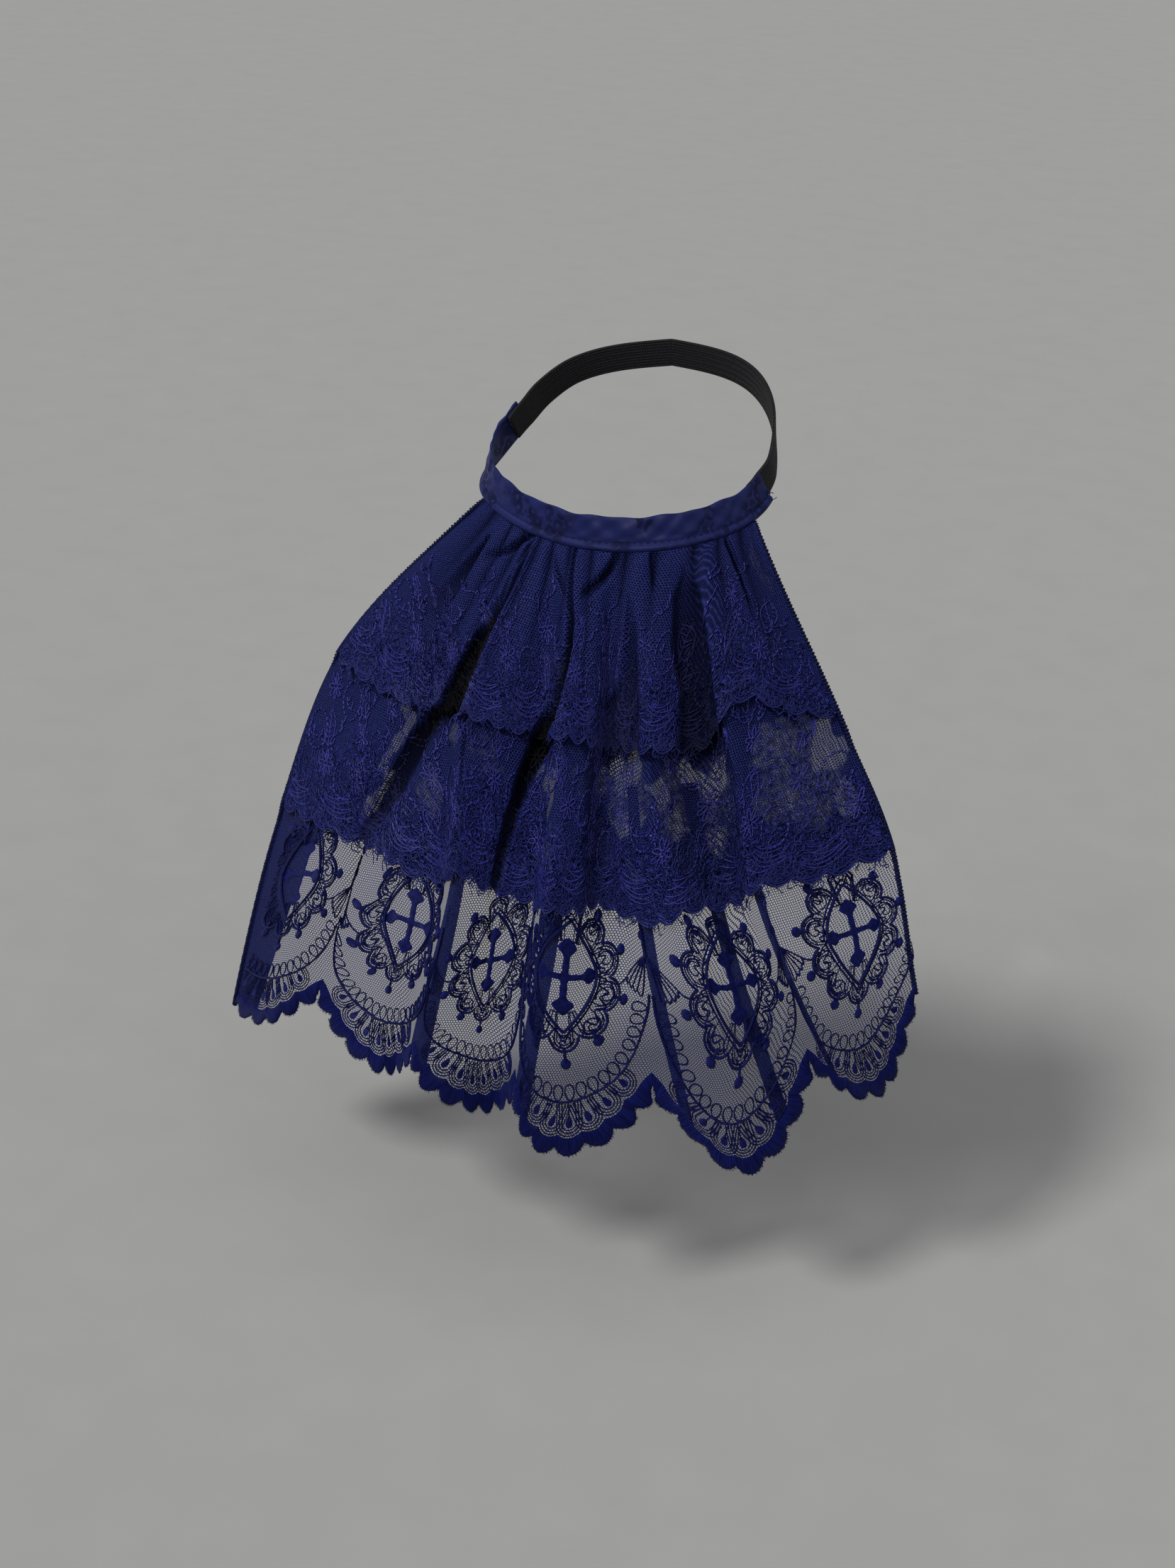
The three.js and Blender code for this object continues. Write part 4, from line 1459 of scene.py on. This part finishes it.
def leaf_lines(tall=16.0, wide=4.2):
    """A pointed leaf with a vein and slanting side veins."""
    t = np.linspace(-1, 1, 15)
    side = np.stack([wide * (1 - t ** 2), t * tall / 2], -1)
    lines = [side, side * (-1, 1), np.array([(0, -tall / 2), (0, 0), (0, tall / 2)])]
    for y in np.linspace(-tall * 0.32, tall * 0.25, 5):
        reach = wide * (1 - (2 * y / tall) ** 2) * 0.8
        vein = np.array([(0, y), (reach / 2, y + 1.0), (reach, y + 1.8)])
        lines += [vein, vein * (-1, 1)]
    return lines


def arc_group(count=6, wide=11.5, sag=4.0):
    """Nested arcs like a row of smiles."""
    lines = []
    for k in range(count):
        x = np.linspace(-1, 1, 15) * (wide - 0.8 * k)
        lines.append(np.stack([x, 1.75 * k + sag * (x / wide) ** 2], -1))
    return lines


print("a leaf has", len(leaf_lines()), "lines, a flower", len(flower_lines()))


# %% Filling, hem and vines
def squiggle():
    """A short wandering stitch."""
    first = rng.uniform(0, 2 * math.pi)
    bends = rng.normal(0, 0.85, rng.integers(9, 14))
    heading = np.cumsum(np.r_[first, bends])
    return np.cumsum(np.stack([np.cos(heading), np.sin(heading)], -1) * 0.95, 0)


def hem_cords():
    """Three cords along the small scallops, the outermost thicker and the innermost wavy."""
    x = np.arange(0.8, LACE_WIDTH - 0.8, 0.9)
    y = SMALL_DEPTH - small_scallop(x)
    return [(np.stack([x, y + 0.5], -1), 0.44), (np.stack([x, y + 1.6], -1), 0.26),
            (np.stack([x, y + 3.2 + 0.5 * np.sin(x * 2.1)], -1), 0.24)]


def vine(start, end, swing):
    """A wavy line of single stitches with little side shoots."""
    t = np.linspace(0, 1, 9)[:, None]
    start, end = np.array(start, float), np.array(end, float)
    aside = np.array([-(end - start)[1], (end - start)[0]])
    way = start + (end - start) * t + unit(aside) * swing * np.sin(2 * math.pi * t)
    shoot = [(0, 0), (1.6, 1.2), (2.2, 3.0)]
    return stitched(way) + [turned(shoot, rng.uniform(-1, 1), way[i]) for i in range(1, 8, 2)]


print("a small hem has", len(hem_cords()), "cords")


# %% Figures of the upper tiers
def figure_lines(tier, height):
    """The figures of one upper tier with the radius of their cord, up to a height."""
    found = []

    def add(lines, radius):
        found.extend((line, radius) for line in lines)

    for k in range(8):
        for part in (0.22, 0.74):
            middle = np.array([(k + part) * REPEAT, 8.0]) + rng.uniform(-2, 2, 2)
            add((turned(arc, rng.uniform(-0.2, 0.2), middle) for arc in arc_group()), ARC_CORD)
        for row, y in enumerate(np.arange(27, height, 17)):
            shift = REPEAT / 2 * ((row + tier) % 2) + rng.uniform(-3, 3)
            centre = np.array([k * REPEAT + shift, y + rng.uniform(-2, 2)])
            turn = rng.uniform(0, 1)
            add((turned(petal, turn, centre) for petal in flower_lines()), FLOWER_CORD)
            top = centre + (rng.uniform(-6, 6), 21)
            add(vine(centre + (3, 6), top + (8, 0), 3.0), VINE_CORD)
            add(vine(centre + (-4, 4), centre + (-20, 15), -2.5), VINE_CORD)
            leaf = centre + (REPEAT / 2 + rng.uniform(-3, 3), rng.uniform(-2, 3))
            add((turned(line, rng.uniform(-0.6, 0.6), leaf) for line in leaf_lines()), LEAF_CORD)
            t = np.linspace(0, 2 * math.pi, 25)
            ring = np.stack([7.5 * np.cos(t), 8.5 * np.sin(t)], -1) + centre + (16, -3)
            add(stitched(ring), VINE_CORD)
    return found


def embroider(tier, name, height, squiggles):
    """The figures of one upper tier, and the fine filling and corded hem between them."""
    figures = figure_lines(tier, height)
    filling = hem_cords()
    for _ in range(squiggles):
        place = np.array([rng.uniform(3, LACE_WIDTH - 3), 2.5 + 32 * rng.uniform(0, 1) ** 1.7])
        filling.append((squiggle() + place, FILLING_CORD))
    return [lay_cords(f"{name}_embroidery", tier, figures, bright_thread),
            lay_cords(f"{name}_filling", tier, filling, filling_thread)]


bright_thread = thread_material("bright thread", (0.006, 0.008, 0.08, 1),
                                (0.038, 0.038, 0.28, 1), stitch=1.1, relief=0.6, gloss=0.25)
filling_thread = thread_material("filling thread", NAVY, NAVY_BRIGHT, stitch=1.1, relief=0.6,
                                 gloss=0.2)
top_embroidery = embroider(0, "top", height=56, squiggles=1350)
middle_embroidery = embroider(1, "middle", height=92, squiggles=1300)

# %% [markdown]
# ## Folds laid double
#
# In six places the lower net folds back under itself, and shows as a denser, bluer stripe. Each
# is a second strip just behind the first, so close a net that it lets almost nothing through. Its
# blue then shows through the cells in front of it, as on the real collar.

# %% Double folds
# lace place at the hem and at the top, width at the hem and at the top
DOUBLE_FOLDS = [(7, 19, 19, 44), (138, 141, 18, 26), (218, 225, 17, 24), (300, 302, 5, 9),
                (344, 349, 6, 9), (378, 376, 7, 12)]
DOUBLE_TOP, DOUBLE_INSET = 95.0, 3.0  # below the band, and above the hem
BEHIND, ALMOST_CLOSED = -0.75, 0.97


def double_folds():
    """All the strips as one mesh."""
    meshes = []
    for hem, top, hem_wide, top_wide in DOUBLE_FOLDS:
        mesh = grid_mesh("double_fold", 8, 60)
        share = coordinates(mesh)
        up = 1 - share[:, 1]
        wide = hem_wide + (top_wide - hem_wide) * up
        lace = hem + (top - hem) * up + (share[:, 0] - 0.5) * wide
        lace = np.clip(lace, -SELVEDGE, LACE_WIDTH + SELVEDGE)
        down = DOUBLE_TOP + share[:, 1] * (hem_of(2, lace) - (DOUBLE_TOP + DOUBLE_INSET))
        hang_mesh(mesh, 2, lace, down, BEHIND, ALMOST_CLOSED)
        set_lace_uv(mesh, lace, down)
        turned_net = cloth.across_at(lace, down) * 1.04 + down * 0.06
        set_lace_uv(mesh, turned_net, down * 0.97, "net")
        meshes.append(mesh)
    return join_meshes("double_folds", meshes)


double_net = net_material("double net", ply_behind_and_its_shade=(0.005, 0.008, 0.065, 1))
fold_piece = finish_piece("double_folds", double_folds(), double_net, outward="flip")
print("double folds:", len(fold_piece.data.polygons), "faces")

# %% [markdown]
# ## The satin band and its elastic
#
# The band is a bias strip folded over, with a corded fold along its lower edge. It is a section
# carried round the neck: a grid whose columns are angles and whose rows go round the section, so
# its first and last rows are welded. Shallow crossing waves give the small crinkles that satin
# keeps where it is pulled round a curve.


# %% Strips round a section
def tube_mesh(name, along, around, shape):
    """A closed strip; shape gives points for shares along it and round its section."""
    mesh = grid_mesh(name, along, around)
    share = coordinates(mesh)
    points, length, width = shape(share[:, 0], share[:, 1])
    place_vertices(mesh, points * MM)
    set_lace_uv(mesh, length, width)
    made = bmesh.new()
    made.from_mesh(mesh)
    bmesh.ops.remove_doubles(made, verts=made.verts, dist=0.00001)
    bmesh.ops.holes_fill(made, edges=made.edges, sides=0)
    made.to_mesh(mesh)
    made.free()
    return mesh


def section_place(section, share):
    """Up and out at a share of the way round a closed section."""
    closed = np.vstack([section, section[:1]])
    length = np.r_[0, np.cumsum(np.linalg.norm(np.diff(closed, axis=0), axis=1))]
    at = share * length[-1]
    return np.interp(at, length, closed[:, 0]), np.interp(at, length, closed[:, 1]), at


print("a strip's rows run once round its section")

# %% The satin band
# up along the band, out from its middle
BAND_SECTION = even_line([
    (6.7, 0.35), (5.0, 0.72), (1.0, 0.82), (-3.2, 0.85), (-3.75, 0.62), (-4.3, 1.15), (-5.5, 1.85),
    (-6.8, 1.6), (-7.5, 0.6), (-6.9, -0.55), (-5.0, -0.78), (0.0, -0.8), (6.0, -0.6), (6.75, -0.2),
], 0.5, closed=True)
MM_PER_DEGREE = 1.03
STITCH_STEP, FRAYED_THREADS = 2.6, 9


def band_shape(along, around):
    """The folded strip: its section round the neck, with crinkles that fade at its ends."""
    angle = BAND_ENDS[0] + along * (BAND_ENDS[1] - BAND_ENDS[0])
    up, out, width = section_place(BAND_SECTION, around)
    arc = angle * MM_PER_DEGREE
    free = smooth_step((up + 3.4) / 2) * np.where(out > 0, 1, 0.4)
    ends = smooth_step(np.minimum(angle - BAND_ENDS[0], BAND_ENDS[1] - angle) / 6)
    slant = arc + 0.9 * up
    crinkle = 0.38 * np.sin(slant / 2.6 + 1.3 * np.sin(arc / 9)) * np.sin(arc / 17 + 0.3 * up)
    crinkle += 0.16 * np.sin((arc - 1.4 * up) / 1.7 + np.sin(arc / 5))
    edge = smooth_step((up - 4) / 2.5) * (0.28 * np.sin(arc / 4.1) + 0.2 * np.sin(arc / 2.3 + 1))
    shift = np.sign(out) * free * crinkle * ends
    return ring_point(angle, up + edge * ends, out + shift), arc, width


def satin_material():
    """Navy satin with a quiet woven figure that only shows in its gloss."""
    shader, place, x, y = lace_shader("navy satin", Sheen_Weight=0.08, Sheen_Roughness=0.3,
                                      Specular_IOR_Level=0.12)
    leaf = (shader.cells(place, 0.22, 0.8) * 1.7 + shader.noise(place, 0.6) * 0.6).zigzag()
    figure = leaf.over(0.34, 0.5) * shader.noise(place, 0.07).over(0.45, 0.6)
    twill = ((x + y) * (2 * math.pi / 0.45)).ripple()
    colour = shader.mixed(figure * 0.8, NAVY_LIGHT, NAVY_DARK)
    soft = shader.noise(place, 0.12, 3.0).over(0.35, 0.7)
    colour = shader.mixed(soft * 0.2, colour, NAVY_LIGHT)
    shader.feed(Base_Color=colour, Roughness=0.36 + figure * 0.22 + twill * 0.08)
    shader.bump(twill * 0.4 + soft * 0.6, 0.0003, 0.5)
    return shader.material


def band_stitches():
    """Short stitches in the groove above the corded fold, and frayed threads at one end."""
    lines = []
    for angle in np.arange(BAND_ENDS[0] + 2, BAND_ENDS[1] - 3, STITCH_STEP):
        turns = angle + np.linspace(0, 1.8, 5)
        height = np.array([0.62, 0.85, 0.9, 0.85, 0.62])
        lines.append(ring_point(turns, -3.75, height) * MM)
    for _ in range(FRAYED_THREADS):
        start = ring_point(BAND_ENDS[1] - rng.uniform(0, 1.5, 1), rng.uniform(-6.5, -3), 1.2)
        heading = np.array([1.0, -0.4, 0.3]) + rng.normal(0, 0.5, 3)
        steps = heading + np.cumsum(rng.normal(0, 0.55, (8, 3)), 0)
        lines.append((start + np.cumsum(unit(steps) * 0.55, 0)) * MM)
    return cord_mesh("band_stitches", lines, 0.16 * MM, 1)


band = finish_piece("satin_band", tube_mesh("satin_band", 420, 64, band_shape), satin_material(),
                    outward="recalculate")
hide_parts("neckband")
stitch_mesh = band_stitches()
spots = coordinates(stitch_mesh) / MM
set_lace_uv(stitch_mesh, spots[:, 0], spots[:, 2])
band_thread = thread_material("band thread", NAVY, NAVY_LIGHT)
stitches = finish_piece("band_stitches", stitch_mesh, band_thread)
print("band:", len(band.data.polygons), "faces")

# %% [markdown]
# ## The elastic
#
# A braided elastic closes the neck behind. It is the same kind of strip: its ribs are waves in the
# thickness of its section, and at both ends it steps inward so that it lies under the band.

# %% The elastic
ELASTIC_SECTION = even_line([
    (5.2, 0.5), (-5.2, 0.5), (-5.5, 0), (-5.2, -0.5), (5.2, -0.5), (5.5, 0),
], 0.25, closed=True)
RIB_STEP = 1.22


def elastic_shape(along, around):
    """The elastic from lap to lap, the long way round the back of the neck."""
    first, last = BAND_ENDS[1] - LAP_ANGLE, BAND_ENDS[0] + LAP_ANGLE + 360
    angle = first + along * (last - first)
    up, out, _ = section_place(ELASTIC_SECTION, around)
    ribs = 0.2 * np.abs(np.sin(math.pi * up / RIB_STEP)) * np.sign(out)
    from_end = np.minimum(angle - first, last - angle) - LAP_ANGLE
    tucked = -(BAND_WALL + ELASTIC_WALL) / 2 - LAP_GAP
    centre = tucked * (1 - smooth_step(from_end / LAP_RELEASE))
    return ring_point(angle, up, out + ribs + centre), angle * MM_PER_DEGREE, up


def elastic_material():
    """Braided elastic: ribs along it, and slanting yarns that cross each rib."""
    shader = Shader("ribbed elastic", Roughness=0.6, Sheen_Weight=0.05, Sheen_Roughness=0.4,
                    Specular_IOR_Level=0.2)
    place = shader.lace_place()
    x, y, _ = shader.parts(place)
    rib = (y * (math.pi / RIB_STEP)).sine()
    yarn = (x * 5.5 + rib * 2.2).ripple()
    tone = shader.noise(place, 0.8).over(0.3, 0.7)
    dark, light = (0.002, 0.002, 0.003, 1), (0.012, 0.012, 0.014, 1)
    shader.feed(Base_Color=shader.mixed(yarn * 0.6 + tone * 0.4, dark, light))
    shader.bump(yarn * 0.6 + abs(rib) * 0.4, 0.0003, 0.8)
    return shader.material


strap = finish_piece("ribbed_elastic", tube_mesh("ribbed_elastic", 220, 72, elastic_shape),
                     elastic_material(), outward="recalculate")
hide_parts("elastic_strap")
print("elastic:", len(strap.data.polygons), "faces")

# %% [markdown]
# ## The overlocked side edges
#
# The three layers are caught together down each side by an overlock seam. Its thread wraps the
# edge in a slanting row of small ridges. They are waves in the radius of one closed tube: the
# phase of a wave turns once round the tube, so the ridges wind like thread without being modelled
# one by one.


# %% The side edges
PLY_RELEASE, CLOTH_WALL, WRAP = 12.0, 1.0, 1.5


def edge_shape(side):
    """The tube down one side. side is -1 at the start of the lace and 1 at its end."""
    place = 0.0 if side < 0 else LACE_WIDTH

    def shape(along, around):
        lace = np.full(along.shape, place)
        down = along * hem_of(2, lace)
        past_top = smooth_step((down - hem_distance(0, lace)) / PLY_RELEASE)
        past_middle = smooth_step((down - hem_distance(1, lace)) / PLY_RELEASE)
        plies = 3 - past_top - past_middle
        reach = np.maximum(EDGE_CORD, ((plies - 1) * PLY_PITCH + CLOTH_WALL) / 2 + 0.1)
        outward = cloth.look_up(cloth.outward, lace, down)
        across = unit(cloth.look_up(cloth.points, lace + 1, down)
                      - cloth.look_up(cloth.points, lace - 1, down))
        middle = cloth.look_up(cloth.points, lace, down) + across * side * (SEAM_GAP + EDGE_CORD)
        middle = middle - outward * ((3 - plies) * PLY_PITCH / 2)[:, None]
        turn = 2 * math.pi * around
        ridge = 1 + 0.17 * np.sin(2 * math.pi * down / WRAP + turn + np.sin(down / 6))
        ridge = ridge + 0.07 * np.sin(down * 2.9 + 3 * turn)
        wide, deep = EDGE_CORD * ridge * np.cos(turn), reach * ridge * np.sin(turn)
        return middle + across * wide[:, None] + outward * deep[:, None], down, around * 8
    return shape


edge_thread = thread_material("overlock thread", NAVY_DARK, NAVY, stitch=0.4)
for side, name in ((-1, "left"), (1, "right")):
    edge_mesh = tube_mesh(f"{name}_overlock", 900, 14, edge_shape(side))
    edge_piece = finish_piece(f"{name}_overlock", edge_mesh, edge_thread,
                              outward="recalculate")
    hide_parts(f"{name}_edge")
    print(name, "edge:", len(edge_piece.data.polygons), "faces")

# %% [markdown]
# ## The cloth's real size
#
# Each tier is cut from a straight strip of lace. The hem is the one line of it that isn't
# gathered, so the strip is as wide as the hem is long round its folds, and as long as its drop from
# the band. Those sizes are printed for each sheet beside the area of its mesh, so that the finished
# cloth can be measured against what it was cut from.

# %% Sheets
HEM_SAMPLES = 900


def declare_sheet(tier, piece):
    """Prints the flat size of one tier, as wide as its ungathered hem and as long as its drop from
    the band.
    """
    lace = np.linspace(0, LACE_WIDTH, HEM_SAMPLES)
    hem = hem_of(tier, lace)
    ends = cloth.across_at(lace[[0, -1]], hem[[0, -1]]) * MM
    width, drop = float(ends[1] - ends[0]), hem * MM
    flat, area = (width, float(drop.max())), width * float(drop.mean())
    made = sum(face.area for face in piece.data.polygons)
    print(f"{piece.name}: flat {flat[0]:.3f} by {flat[1]:.3f} m, {area:.4f} m2, made {made:.4f} m2")


declare_sheet(0, top_net)
declare_sheet(1, middle_net)
declare_sheet(2, bottom_net)

# %% [markdown]
# ## The light and the floor
#
# Lace shows by what is behind it, so the floor below the hem is pale and plain. A large soft key
# light from above and in front shows the relief of the thread, and a weaker one from the other
# side opens the shadows.

# %% Light and floor
FLOOR_SIZE, FLOOR_MIDDLE = 4.0, (0, 2.0, -0.34)
FLOOR_DARK, FLOOR_LIGHT = (0.33, 0.326, 0.318, 1), (0.36, 0.356, 0.348, 1)
SKY_COLOUR, SKY_STRENGTH = (0.94, 0.96, 1.0, 1), 0.30


def make_floor():
    made = bmesh.new()
    bmesh.ops.create_grid(made, x_segments=1, y_segments=1, size=FLOOR_SIZE,
                          matrix=Matrix.Translation(FLOOR_MIDDLE))
    mesh = as_mesh("floor", made)
    shader = Shader("floor", Roughness=0.85)
    tone = shader.noise(shader.object_place(), 30.0, 3.0)
    shader.feed(Base_Color=shader.mixed(tone, FLOOR_DARK, FLOOR_LIGHT))
    mesh.materials.append(shader.material)
    floor = show("floor", mesh)


def sun(name, energy, softness, tilt, turn):
    """A distant light; softness in radians, tilt and turn in degrees."""
    data = bpy.data.lights.new(name, "SUN")
    data.energy, data.angle = energy, softness
    show(name, data).rotation_euler = (math.radians(tilt), 0, math.radians(turn))


make_floor()
sun("key", energy=2.1, softness=0.22, tilt=40, turn=-38)
sun("sky", energy=0.6, softness=1.2, tilt=20, turn=40)
world = bpy.data.worlds.new("studio")
world.use_nodes = True
background = world.node_tree.nodes["Background"].inputs
background["Color"].default_value = SKY_COLOUR
background["Strength"].default_value = SKY_STRENGTH
bpy.context.scene.world = world
bpy.context.scene.view_settings.view_transform = "Standard"
print("two soft lights and a pale floor")
